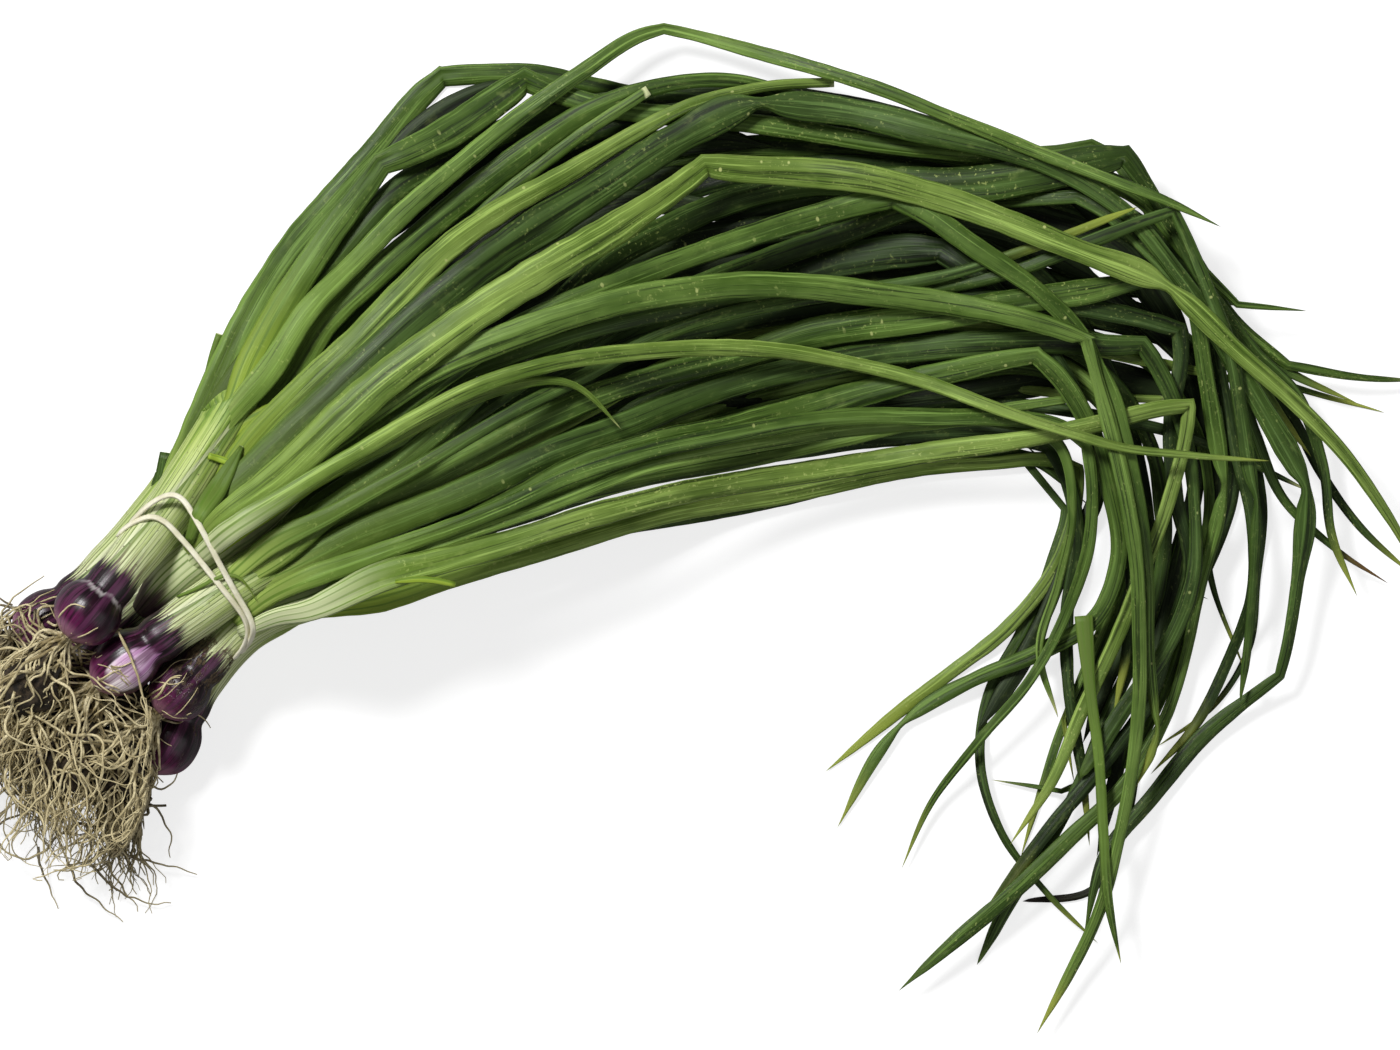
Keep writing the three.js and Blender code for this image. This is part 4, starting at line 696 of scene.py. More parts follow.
class OnionSkin:
    """The nodes of one onion's material, laid down layer by layer.

    Attributes:
        finish: What the onion looks like.
        g: The nodes.
        along: Distance from the root plate, in metres.
        turn: Turns round the onion.
        angle: The same in radians.
        across: Its cosine.
        upward: Its sine.
        streak: Broad streaks.
        vein: Veins.
        hair: Fine lines.
        cloud: Soft blotches.
        jag: Distance from the root plate, pulled to and fro by the veins, for ragged edges.
        line: The stem's regular green lines, from 0 to 1.
        grit: Grains of soil.
    """

    def __init__(self, finish: OnionFinish, name: str) -> None:
        """Read the onion's UV map and make the noises that the layers share.

        Args:
            finish: What the onion looks like.
            name: Name of the material.
        """
        self.finish, self.g = finish, Graph(name)
        g = self.g
        self.along, self.turn = g.uv("skin")
        self.angle = g.times(self.turn, 2 * math.pi)
        self.across, self.upward = g.math("COSINE", self.angle), g.math("SINE", self.angle)
        self.streak, self.vein, self.hair = self.lines(5, 30), self.lines(11, 10), self.lines(24, 22)
        self.cloud, self.grit = self.lines(1.3, 90), self.lines(9, 700, 4, 0.65)
        jag = g.math("ADD", self.along, g.swing(self.vein, finish.jagged))
        self.jag = g.math("ADD", jag, g.swing(self.hair, 0.4 * finish.jagged))
        wave = g.math("COSINE", g.math("ADD", g.times(self.angle, 38.0), g.swing(self.lines(1.6, 22, 1.0), 5.0)))
        self.line = g.times(g.ease(wave, 0.60, 0.97), g.ease(self.lines(14, 26), 0.36, 0.56, 0.25, 1.0))

    def lines(self, around: float, along: float, detail: float = 3.0, rough: float = 0.6) -> Socket:
        """Noise in lines that run along the onion and meet where they close round it.

        Args:
            around: Waves in a radian or so round the onion.
            along: Waves a metre along it.
            detail: Octaves.
            rough: Strength of each octave against the one before.

        Returns:
            The noise, from 0 to 1.
        """
        g = self.g
        place = g.point(g.times(self.across, around), g.times(self.upward, around), g.times(self.along, along))
        return g.noise(place, 1, detail, rough)

    def bulb(self) -> Socket:
        """Purple skin of the bulb up to its dark collar.

        Returns:
            The colour.
        """
        g, finish = self.g, self.finish
        skin = g.mix(g.ease(self.cloud, 0.40, 0.66), colour(16, 2, 10), colour(42, 6, 27))
        low = g.math("ADD", self.along, g.swing(self.cloud, 0.02))
        skin = g.mix(g.ease(low, 0.012, 0.004, 0.0, 0.8), skin, colour(96, 26, 72))
        skin = g.mix(g.ease(self.streak, 0.54, 0.72, 0.0, 0.4), skin, colour(92, 24, 66))
        skin = g.mix(g.ease(self.hair, 0.58, 0.70, 0.0, 0.45), skin, colour(134, 62, 106))
        if finish.soil > 0.5:
            skin = g.mix(g.ease(self.along, 0.012, 0.019, 0.0, 0.9), skin, colour(12, 6, 7))
        skin = g.mix(g.ease(self.vein, 0.50, 0.38, 0.0, 0.85), skin, colour(15, 2, 9))
        skin = g.mix(g.ease(self.along, 0.006, 0.001, 0.0, 0.75), skin, colour(176, 122, 146))
        if finish.patch:
            skin = self.wear_and_pit_shade(skin, *finish.patch)
        collar = g.ease(self.jag, finish.neck - 0.012, finish.neck - 0.007, 0.0, 0.92)
        skin = g.mix(collar, skin, colour(20, 7, 12))
        return self.filmed(skin) if finish.film else skin

    def wear_and_pit_shade(self, skin: Socket, middle: float, turn: float) -> Socket:
        """Wear the purple through to the pale layer under it.

        Args:
            skin: Colour so far.
            middle: Distance of the patch from the root plate, in metres.
            turn: Its place round the bulb, in turns.

        Returns:
            The new colour.
        """
        g = self.g
        away = g.math("DIVIDE", g.math("SUBTRACT", self.along, middle), 0.0105)
        off = g.math("DIVIDE", g.math("SUBTRACT", self.turn, turn), 0.105)
        reach = g.math("SQRT", g.math("ADD", g.times(away, away), g.times(off, off)))
        reach = g.math("ADD", reach, g.swing(self.streak, 0.7))
        pale = g.mix(g.ease(self.streak, 0.35, 0.65), colour(186, 140, 182), colour(222, 196, 218))
        pale = g.mix(g.ease(self.along, middle + 0.001, middle - 0.007), pale, colour(240, 230, 230))
        pale = g.mix(g.ease(self.along, middle + 0.002, middle + 0.010, 0.0, 0.7), pale, colour(142, 84, 134))
        pale = g.mix(g.ease(self.hair, 0.50, 0.40, 0.0, 0.6), pale, colour(150, 96, 142))
        return g.mix(g.ease(reach, 1.08, 0.86), skin, pale)

    def filmed(self, skin: Socket) -> Socket:
        """Draw the torn edge of a dry film across the top of the bulb.

        Args:
            skin: Colour so far.

        Returns:
            The new colour.
        """
        g, end = self.g, self.finish.film
        torn = g.math("ADD", self.along, g.swing(self.lines(1.4, 20), 0.010))
        film = g.times(g.ease(torn, end - 0.0016, end, 0.0, 0.5), g.ease(torn, end + 0.0009, end))
        off = g.math("ABSOLUTE", g.math("SUBTRACT", self.turn, 0.5))
        return g.mix(g.times(film, g.ease(off, 0.24, 0.10)), skin, colour(204, 196, 196))

    def stem(self, wraps: Sequence[tuple[float, float]], length: float) -> Socket:
        """White stem that turns green, with its lines, the pale edges of its sheaths and a painted shadow line beside
        each edge.

        Args:
            wraps: Edges of the sheaths, as the onion has them.
            length: Distance from the root plate to the end of the stem, in metres.

        Returns:
            The colour.
        """
        g, finish = self.g, self.finish
        green = g.mix(g.ease(self.streak, 0.40, 0.62), colour(180, 196, 112), colour(132, 158, 62))
        white = g.mix(g.ease(self.streak, 0.42, 0.66), colour(204, 210, 164), colour(168, 182, 112))
        stem = g.mix(g.ease(self.along, finish.neck + 0.004, finish.neck + finish.green), white, green)
        blade = g.mix(g.ease(self.streak, 0.40, 0.62), colour(150, 174, 82), colour(100, 132, 46))
        stem = g.mix(g.ease(self.along, length - 0.012, length + 0.010, 0.0, 0.9), stem, blade)
        stem = g.mix(g.times(self.line, 0.85), stem, colour(78, 104, 32))
        stem = g.mix(g.ease(self.hair, 0.46, 0.36, 0.0, 0.45), stem, colour(118, 140, 66))
        stem = g.mix(g.ease(self.cloud, 0.6, 0.75, 0.0, 0.3), stem, colour(232, 234, 212))
        for first, gain in wraps:
            slant = g.math("ADD", g.times(self.along, -gain / WRAP_RUN), 2.0 - first)
            edge = g.math("FRACT", g.math("ADD", self.turn, slant))
            # Painted shadow: a dark green line on the layer just past each sheath edge, where that edge would shade
            # it.
            stem = g.mix(g.ease(edge, 0.06, 0.0, 0.0, 0.75), stem, colour(88, 112, 44))
            stem = g.mix(g.ease(edge, 0.972, 0.984, 0.0, 0.55), stem, colour(214, 218, 180))
        return stem

    def dirt(self) -> Socket:
        """Amount of soil: scattered grains, and a crust on a dirty bulb.

        Returns:
            The amount, from 0 to 1.
        """
        g, soil = self.g, self.finish.soil
        dirt = g.times(g.ease(self.grit, 0.62, 0.68, 0.0, 0.9), g.ease(self.cloud, 0.5, 0.62))
        if not soil:
            return dirt
        crust = g.math("ADD", g.times(self.lines(2.6, 170, 4, 0.7), 0.7), g.times(self.grit, 0.3))
        where = g.times(g.ease(self.along, 0.036, 0.030), g.ease(self.along, 0.008, 0.017, 0.25, 0.9))
        cover = g.times(g.ease(crust, 0.60 - 0.12 * soil, 0.66 - 0.12 * soil), where)
        return g.math("MAXIMUM", dirt, cover)

    def material(self, wraps: Sequence[tuple[float, float]], length: float) -> bpy.types.Material:
        """Join the layers.

        Args:
            wraps: Edges of the sheaths, as the onion has them.
            length: Distance from the root plate to the end of the stem, in metres.

        Returns:
            The new material.
        """
        g, neck, dirt = self.g, self.finish.neck, self.dirt()
        body = g.mix(g.ease(self.jag, neck - 0.001, neck + 0.003), self.bulb(), self.stem(wraps, length))
        stain = g.times(g.ease(self.jag, neck + 0.014, neck + 0.002, 0.0, 0.7), g.ease(self.streak, 0.5, 0.62))
        body = g.mix(stain, body, colour(88, 44, 74))
        earth = g.mix(g.ease(self.grit, 0.3, 0.7), colour(14, 11, 8), colour(92, 76, 54))
        g.feed(g.shader.inputs["Base Color"], g.mix(dirt, body, earth))
        rough = g.ease(self.jag, neck - 0.012, neck + 0.004, 0.30, 0.48)
        g.feed(g.shader.inputs["Roughness"], g.math("MAXIMUM", rough, g.times(dirt, 0.95)))
        g.shader.inputs["Specular IOR Level"].default_value = 0.32
        ribs = g.times(self.line, g.ease(self.jag, neck, neck + 0.004, 0.0, -0.5))
        relief = g.math("ADD", g.times(self.vein, 0.3), g.times(g.times(dirt, self.grit), 3.0))
        g.feed(g.shader.inputs["Normal"], g.bump(g.math("ADD", relief, ribs), 0.0007, 0.45))
        return g.material


@dataclass(frozen=True)
class PlainFinish:
    """A dull fibrous or smooth stuff with two colours clouded together.

    Attributes:
        name: Name of the material.
        dark: Darker colour.
        light: Lighter colour.
        grain: Size of the clouds in waves a metre.
        rough: Roughness.
        relief: Depth of the surface in metres.
        faded: Colour towards the far end of each strand, where the piece keeps that share.
        wear_and_pit_shade: How dark its pits are, 0 to 1; this is painted shade in the low parts of its relief.
        deep: Height above the table below which it darkens, in metres; the darkening is painted shade low in the
            tangle, together with soil.
    """

    name: str
    dark: RGB
    light: RGB
    grain: float = 300.0
    rough: float = 0.7
    relief: float = 0.0003
    faded: Optional[RGB] = None
    wear_and_pit_shade: float = 0.45
    deep: float = 0.0

    def material(self) -> bpy.types.Material:
        """Make the material, or find it where another piece has it.

        Returns:
            The material.
        """
        made = bpy.data.materials.get(self.name)
        if made:
            return made
        g = Graph(self.name)
        place = g.node("ShaderNodeTexCoord", {}).outputs["Object"]
        cloud = g.noise(place, self.grain, 3, 0.6)
        fine = g.noise(place, self.grain * 6, 3, 0.65)
        body = g.mix(g.ease(cloud, 0.36, 0.66), self.dark, self.light)
        # Painted shade: the pits of the relief are darkened as if shade lay in them.
        body = g.mix(g.ease(fine, 0.55, 0.4, 0.0, self.wear_and_pit_shade), body, shade(self.dark, 0.45))
        if self.faded:
            share = g.node("ShaderNodeAttribute", {}, attribute_name="share").outputs["Fac"]
            body = g.mix(g.ease(share, 0.0, 0.7, 0.0, 0.6), body, self.faded)
        # Painted shade with some soil: darker towards the table, where the tangle shades itself, less so at the
        # strands' far ends.
        if self.deep:
            height = g.node("ShaderNodeSeparateXYZ", {"Vector": place}).outputs["Z"]
            height = g.math("ADD", height, g.swing(cloud, 0.02))
            low_shade = g.ease(height, 0.2 * self.deep, self.deep, 0.72, 0.0)
            if self.faded:
                low_shade = g.times(low_shade, g.ease(share, 0.3, 0.85, 1.0, 0.3))
            body = g.mix(low_shade, body, colour(52, 40, 22))
        g.feed(g.shader.inputs["Base Color"], body)
        g.shader.inputs["Roughness"].default_value = self.rough
        g.feed(g.shader.inputs["Normal"], g.bump(fine, self.relief, 0.6))
        return g.material


ROOT_STUFF = PlainFinish("root_fibre", colour(132, 116, 76), colour(226, 214, 174), 200.0, 0.7, 0.0003,
                         colour(202, 188, 144), deep=0.036)
RUBBER = PlainFinish("cream_rubber", colour(212, 207, 178), colour(230, 226, 204), 160.0, 0.55, 0.0001, wear_and_pit_shade=0.08)
# Soil and painted shade: the near-black brown of the lumps that darken the gaps among roots and bulbs.
SOIL_AND_SHADE = PlainFinish("dry_soil", colour(26, 21, 15), colour(66, 54, 38), 420.0, 0.95, 0.0008)


# ---- onions -------------------------------------------------------------------------------------
LIP_STEPS = (0.15, 0.3, 0.45, 0.6, 0.75, 0.9, 1.0)      # rings of a sheath's lips, as shares of its reach
HOLLOW_STEPS = ((1.0, 0.955), (0.92, 0.90), (0.78, 0.66), (0.66, 0.34), (0.60, 0.04))   # reach and width


@dataclass
class Onion:
    """Bulb and stem, grown as one, with the open mouth of its sheath round the leaves.

    Attributes:
        number: Which onion it is.
        finish: Its skin.
        notch: Direction round the stem, in turns, in which the sheath is split.
        reach: Length of the sheath past the end of the stem, at its longest.
        wraps: Edges of the overlapping sheaths as (turn at the neck, turns gained along the stem).
        sides: Points round it.
        step: Distance between rings.
    """

    number: int
    finish: OnionFinish = OnionFinish()
    notch: float = 0.25
    reach: float = 0.020
    wraps: Sequence[tuple[float, float]] = ((0.32, 0.2), (0.12, -0.25))
    sides: int = 72
    step: float = 0.0009
    spine: Spine = field(init=False)

    def __post_init__(self) -> None:
        """Read the run of sections from the solid."""
        self.spine = Spine.of_node(f"onion_{self.number}", (-0.26, -0.08, 0.02))

    def on_axis(self, back: float) -> np.ndarray:
        """Point on the axis at a distance back from the end of the stem."""
        s = self.spine.stations()
        return np.array([np.interp(s[-1] - back, s, self.spine.centre[:, i]) for i in range(3)])

    def build(self) -> bpy.types.Object:
        """Make the onion.

        Returns:
            The finished piece.
        """
        run, at, _ = self.spine.resampled(self.step)
        heading, side, up = frames_along(run.centre, 4)
        turn = np.arange(self.sides) / self.sides
        angle = 2 * math.pi * (turn - 0.25)
        radius = self._profile(run.wide, at)[:, None] * np.ones(self.sides)
        stem = smooth(0.030, 0.042, at)[:, None]
        for first, gain in self.wraps:
            edge = (turn[None] - first - gain * at[:, None] / WRAP_RUN) % 1.0
            radius += 0.0008 * stem * (edge ** 2) * smooth(1.0, 0.97, edge)
        lumps = np.array([[noise.noise(Vector((2 * math.cos(a), 2 * math.sin(a), s * 60 + self.number)))
                           for a in angle] for s in at[::6]])
        lumps = np.array([np.interp(at, at[::6], lumps[:, i]) for i in range(self.sides)]).T
        radius *= 1 + (0.012 + 0.023 * stem) * lumps
        rings = (run.centre[:, None] + radius[..., None]
                 * (np.cos(angle)[None, :, None] * side[:, None] + np.sin(angle)[None, :, None] * up[:, None]))
        rings = np.concatenate([rings, self._mouth(rings[-1], run.centre[-1], heading[-1], turn)])
        extra = at[-1] + np.array([*LIP_STEPS, 1.0, 0.9, 0.8, 0.7, 0.6]) * self.reach
        along = np.concatenate([at, extra])
        rings[..., 2] = np.maximum(rings[..., 2], LEAST_HEIGHT)
        obj = Shell(rings, along, 1.0, along / along.max(), self.number / 7).build(f"onion_{self.number}_skin")
        finish_piece(obj, "onion", [f"onion_{self.number}"],
                     self.finish.material(f"onion_{self.number}_skin", self.wraps, float(at[-1])))
        return obj

    def _mouth(self, last: np.ndarray, middle: np.ndarray, heading: np.ndarray, turn: np.ndarray) -> np.ndarray:
        """Draw the end of the sheath out in lobes, round a shallow hollow.

        Args:
            last: Last ring of the stem.
            middle: Middle of that ring.
            heading: Direction of the stem there.
            turn: Turn round the stem of each place on a ring.

        Returns:
            The rings that follow: the lips first, then the hollow.
        """
        gap = np.abs((turn - self.notch + 0.5) % 1.0 - 0.5)
        ragged = wander(turn * 9, self.number, 0.5) * 0.10 + 1
        lobes = 0.62 + 0.38 * np.cos(2 * math.pi * (3 * turn + self.number * 0.37)) * smooth(0.10, 0.25, gap)
        reach = self.reach * (0.18 + 0.82 * smooth(0.02, 0.20, gap)) * ragged * lobes
        mouth = []
        for t in LIP_STEPS:
            close = 1 + 0.04 * t - 0.26 * t ** 2 * smooth(0.4, 1.0, reach / self.reach)
            mouth.append(middle + (last - middle) * close[:, None] + heading * (reach * t)[:, None])
        wall = mouth[-1] - middle - heading * reach[:, None]
        for t, shrink in HOLLOW_STEPS:
            mouth.append(middle + wall * shrink + heading * (reach * t)[:, None])
        return np.array(mouth)

    def _profile(self, solid: np.ndarray, at: np.ndarray) -> np.ndarray:
        """Round globe, a tight collar and a stem that swells a little, kept close to the solid.

        Args:
            solid: Half widths of the solid.
            at: Distance from the root plate of each.

        Returns:
            The radius at each place.
        """
        bulb = float(solid[:int(len(at) / 2)].max())
        half = self.finish.neck * 0.40
        across = np.clip((at - half * 0.98) / half, -1, 1)
        globe = bulb * 1.03 * np.maximum(1 - np.abs(across) ** 2.3, 0.0) ** 0.5
        plate = 0.0034 * smooth(0.0045, 0.0, at)
        sleeve = (0.0080 + 0.0006 * np.exp(-((at - half * 2.1) / 0.004) ** 2)) * smooth(half * 1.2, half * 1.95, at)
        stem = sleeve + 0.0004 * smooth(0.045, 0.075, at)
        rough = np.maximum(np.maximum(globe, plate), stem)
        for _ in range(5):
            rough[1:-1] = (rough[:-2] + 2 * rough[1:-1] + rough[2:]) / 4
        return rough


# ---- leaves -------------------------------------------------------------------------------------
KINK_REACH = 0.0045                        # length over which a kink pinches the leaf, in metres
POINT_REACH = 0.012                        # length over which a leaf comes to a point, in metres
RIDGES = ((2.1, 0.6), (4.3, 0.35), (8.7, 0.12))         # waves across a leaf and their strength


@dataclass
class Leaf:
    """One hollow leaf, flattened, pinched at its kinks and drawn out or cut at its tip.

    Attributes:
        name: The CAD node's name; its number is that of the onion it grows on.
        finish: Its skin.
        ridges: Depth of the ridges along it, as a share of its thickness.
        hollow: How far its upper wall has sunk in, as a share of its thickness.
        roll: Largest sideways turn in degrees.
        edge: Sharpness of its two edges; 1 is an oval.
        supple: Whether it curls round without a kink.
        sides: Points round it.
        step: Distance between rings.
    """

    name: str
    finish: LeafFinish = LeafFinish()
    ridges: float = 0.10
    hollow: float = 0.30
    roll: float = 10.0
    edge: float = 1.1
    supple: bool = False
    sides: int = 24
    step: float = 0.0022

    def build(self, onions: dict[int, Onion]) -> bpy.types.Object:
        """Make the leaf.

        Args:
            onions: The onions by number.

        Returns:
            The finished piece.
        """
        seed = (sum(ord(c) * (i + 3) for i, c in enumerate(self.name)) * 37 % 997) / 997
        spine = self._spine()
        rooted = self.name[5].isdigit()
        if rooted:
            spine = self._reach_back(spine, onions[int(self.name[5])])
        run, at, kinks = spine.resampled(self.step)
        if self.supple:
            kinks, run = [], Spine(blurred(run.centre, 40), run.wide, run.high)
        folds = [int(np.searchsorted(at, k - 1e-9)) for k in kinks]
        side, up = self._facing(run.centre, folds)
        x, z = self._outline(run, at, kinks, seed, rooted)
        drift = side * (0.0005 * wander(at / 0.045, seed, 7) * smooth(0.02, 0.08, at))[:, None]
        centre = run.centre + drift
        rings = centre[:, None] + side[:, None] * x[..., None] + up[:, None] * z[..., None]
        for fold in folds:
            mitred(rings, centre, fold)
        share = at / at[-1]
        if self.finish.tip is Tip.CUT:
            rings, at, share = self._cut(rings, at, share)
        else:
            self._draw_out(rings, at)
        rings[..., 2] = np.maximum(rings[..., 2], LEAST_HEIGHT)
        obj = Shell(rings, at, 4 * float(run.wide.mean()), share, seed).build(f"{self.name}_blade")
        finish_piece(obj, "leaf", self._nodes(), self.finish.material())
        return obj

    def _facing(self, centre: np.ndarray, folds: Sequence[int]) -> tuple[np.ndarray, np.ndarray]:
        """Find which way each section faces, with a clean break at every fold.

        Args:
            centre: Middle of each section.
            folds: Sections at which the leaf is folded.

        Returns:
            The sideways and the upward direction at each section.
        """
        side, up = np.zeros_like(centre), np.zeros_like(centre)
        for first, last in zip([0, *folds], [*folds, len(centre) - 1]):
            keep = slice(first + (first > 0), last + 1)
            _, side_here, up_here = frames_along(centre[first:last + 1], 2)
            side[keep], up[keep] = side_here[keep.start - first:], up_here[keep.start - first:]
        return side, up

    def _outline(self, run: Spine, at: np.ndarray, kinks: Sequence[float], seed: float,
                 rooted: bool) -> tuple[np.ndarray, np.ndarray]:
        """Shape the sections: a sunken, ridged and slightly turned oval.

        Args:
            run: The sections that it follows.
            at: Distance along the leaf of each.
            kinks: Distances along the leaf of its kinks.
            seed: A number of the leaf's own.
            rooted: Whether it grows out of a stem.

        Returns:
            Sideways and upward place of each point, section by section.
        """
        theta = 2 * math.pi * (np.arange(self.sides) / self.sides - 0.25)
        across, rise = np.cos(theta), np.sign(np.sin(theta)) * np.abs(np.sin(theta)) ** self.edge
        near_kink = np.zeros(len(at))
        for k in kinks:
            near_kink = np.maximum(near_kink, np.exp(-((at - k) / KINK_REACH) ** 2))
        wide = run.wide * (1 + 0.05 * wander(at / 0.022, seed) + 0.03 * wander(at / 0.006, seed, 3))
        wide *= 1 + 0.30 * np.exp(-((at - 0.045) / 0.026) ** 2) * rooted
        wide *= 1 - 0.12 * near_kink
        high = run.high * (1 - 0.5 * near_kink)
        sunk = self.hollow * (0.55 + 0.6 * wander(at / 0.055, seed, 1)) * smooth(0.0, 0.05, at)
        middle = 0.35 * wander(at / 0.09, seed, 2)
        valley = np.exp(-(((across[None] - middle[:, None]) / 0.42) ** 2))
        lift = rise[None] - sunk[:, None] * valley * np.where(rise > 0, 1.0, -0.25)[None]
        for waves, part in RIDGES:
            phase = 1.3 * wander(at / 0.11, seed, waves) + seed * 9
            lift += self.ridges * part * np.cos(waves * across[None] * 1.6 + phase[:, None] * 2) * np.abs(rise)[None]
        lift += near_kink[:, None] * 0.5 * np.cos(5 * across[None] + 2) * np.abs(rise)[None]
        turn = np.radians(self.roll) * wander(at / 0.07, seed, 5) * smooth(0.02, 0.10, at)
        cos, sin = np.cos(turn)[:, None], np.sin(turn)[:, None]
        x, z = across[None] * wide[:, None], lift * high[:, None]
        return x * cos - z * sin, x * sin + z * cos

    def _draw_out(self, rings: np.ndarray, at: np.ndarray) -> None:
        """Draw the end of the leaf out to a point.

        Args:
            rings: Points, shaped ring by place round it by 3; changed in place.
            at: Distance along the leaf of each ring.
        """
        end = rings[-1].mean(axis=0)
        taper = np.sqrt(np.clip((at[-1] - at) / POINT_REACH, 0.0004, 1))[:, None, None]
        middle = rings.mean(axis=1)[:, None]
        rings[:] = np.where(taper < 1, middle + (rings - middle) * taper, rings)
        rings[-1] = end + (rings[-1] - end) * 0.2

    def _spine(self) -> Spine:
        """Sections that the leaf follows."""
        return Spine.of_node(self.name, (-0.165, 0.0, 0.03))

    def _nodes(self) -> list[str]:
        """CAD nodes that the leaf stands for."""
        return [self.name]

    def _reach_back(self, spine: Spine, onion: Onion) -> Spine:
        """Carry the leaf back into the stem that it grows out of.

        Args:
            spine: The leaf's own sections.
            onion: The onion that it grows on.

        Returns:
            The longer run.
        """
        first = spine.centre[0]
        away = first - onion.on_axis(0.0)
        heading = onion.on_axis(0.0) - onion.on_axis(0.006)
        heading /= np.linalg.norm(heading)
        away -= heading * float(away @ heading)
        inner = np.array([onion.on_axis(0.024) + 0.35 * away, onion.on_axis(0.009) + 0.72 * away])
        return Spine(np.concatenate([inner, spine.centre]),
                     np.concatenate([[0.0022, 0.0029], spine.wide]),
                     np.concatenate([[0.0010, 0.0014], spine.high]))

    def _cut(self, rings: np.ndarray, at: np.ndarray,
             share: np.ndarray) -> tuple[np.ndarray, np.ndarray, np.ndarray]:
        """Open the end of a cut leaf: a thin rim round a shallow hollow.

        Args:
            rings: Points, shaped ring by place round it by 3.
            at: Distance along the leaf of each ring.
            share: Share of the leaf's length at each ring.

        Returns:
            All three with two more rings.
        """
        last, before = rings[-1], rings[-2]
        middle = last.mean(axis=0)
        back = (before.mean(axis=0) - middle)
        back /= np.linalg.norm(back)
        rim = middle + (last - middle) * 0.82
        deep = rim + back * 0.004
        return (np.concatenate([rings, rim[None], deep[None]]), np.concatenate([at, at[-1:], at[-1:]]),
                np.concatenate([share, [1.0, 1.0]]))


def surface_trees(pieces: Iterable[bpy.types.Object]) -> list[BVHTree]:
    """Surfaces of the pieces, ready for rays."""
    return [BVHTree.FromPolygons([tuple(v.co) for v in o.data.vertices], [tuple(p.vertices) for p in o.data.polygons])
            for o in pieces]


def surface_height(spot: Vector, trees: Sequence[BVHTree]) -> float:
    """Height of the topmost surface under a spot, 0 where there is none."""
    hits = [tree.ray_cast(spot, Vector((0, 0, -1)))[0] for tree in trees]
    return max((hit.z for hit in hits if hit), default=0.0)


@dataclass
class Trim(Leaf):
    """A torn sheath, a stub or a leaf low in the bunch of which little shows.

    Attributes:
        path: Places in millimetres: along the bunch, across it, height or 0 to lie on what is there,
            half width and half thickness.
    """

    path: Sequence[tuple[float, float, float, float, float]] = ()

    def lay(self, trees: Sequence[BVHTree]) -> None:
        """Find the heights that are left open.

        Args:
            trees: Surfaces that it can lie on.
        """
        laid = []
        for x, y, z, wide, high in self.path:
            if not z:
                spots = [Vector(((x + dx) * MM + SHIFT[0], (y + dy) * MM + SHIFT[1], 0.2))
                         for dx, dy in ((0, 0), (wide, 0), (-wide, 0), (0, wide), (0, -wide))]
                z = max(surface_height(spot, trees) for spot in spots) / MM + high
            laid.append((x, y, z, wide, high))
        self.path = laid

    def _spine(self) -> Spine:
        """Sections that were set down one by one."""
        table = np.array(self.path) * MM
        table[:, :2] += SHIFT
        return Spine(table[:, :3], table[:, 3], table[:, 4])

    def _nodes(self) -> list[str]:
        """It belongs to its neighbours' nodes."""
        return []


# ---- roots --------------------------------------------------------------------------------------
TANGLE = np.array([-224.0, -74.0, 32.0, 48.0])   # middle and half sizes of the tangle, in millimetres


def strand_tree(name: str, material: bpy.types.Material) -> bpy.types.GeometryNodeTree:
    """Nodes that turn a curve with a radius at each point into closed round strands.

    Args:
        name: Name of the tree.
        material: What the strands are made of.

    Returns:
        The tree, with the inputs Sides and Thickness.
    """
    tree = bpy.data.node_groups.new(name, "GeometryNodeTree")
    tree.interface.new_socket("Geometry", in_out="INPUT", socket_type="NodeSocketGeometry")
    sides = tree.interface.new_socket("Sides", in_out="INPUT", socket_type="NodeSocketInt")
    thickness = tree.interface.new_socket("Thickness", in_out="INPUT", socket_type="NodeSocketFloat")
    sides.default_value, thickness.default_value = 5, 1.0
    tree.interface.new_socket("Geometry", in_out="OUTPUT", socket_type="NodeSocketGeometry")
    nodes, links = tree.nodes, tree.links
    start, end = nodes.new("NodeGroupInput"), nodes.new("NodeGroupOutput")
    ring, sweep = nodes.new("GeometryNodeCurvePrimitiveCircle"), nodes.new("GeometryNodeCurveToMesh")
    radius, times = nodes.new("GeometryNodeInputRadius"), nodes.new("ShaderNodeMath")
    where, keep = nodes.new("GeometryNodeSplineParameter"), nodes.new("GeometryNodeStoreNamedAttribute")
    real, dress = nodes.new("GeometryNodeRealizeInstances"), nodes.new("GeometryNodeSetMaterial")
    round_off = nodes.new("GeometryNodeSetShadeSmooth")
    times.operation = "MULTIPLY"
    keep.data_type, keep.domain = "FLOAT", "POINT"
    keep.inputs["Name"].default_value = "share"
    ring.inputs["Radius"].default_value = 1.0
    sweep.inputs["Fill Caps"].default_value = True
    dress.inputs["Material"].default_value = material
    links.new(start.outputs["Geometry"], keep.inputs["Geometry"])
    links.new(where.outputs["Factor"], keep.inputs["Value"])
    links.new(keep.outputs["Geometry"], sweep.inputs["Curve"])
    links.new(start.outputs["Sides"], ring.inputs["Resolution"])
    links.new(ring.outputs["Curve"], sweep.inputs["Profile Curve"])
    links.new(radius.outputs[0], times.inputs[0])
    links.new(start.outputs["Thickness"], times.inputs[1])
    links.new(times.outputs[0], sweep.inputs["Scale"])
    links.new(sweep.outputs["Mesh"], round_off.inputs["Geometry"])
    links.new(round_off.outputs["Geometry"], real.inputs["Geometry"])
    links.new(real.outputs["Geometry"], dress.inputs["Geometry"])
    links.new(dress.outputs["Geometry"], end.inputs["Geometry"])
    return tree


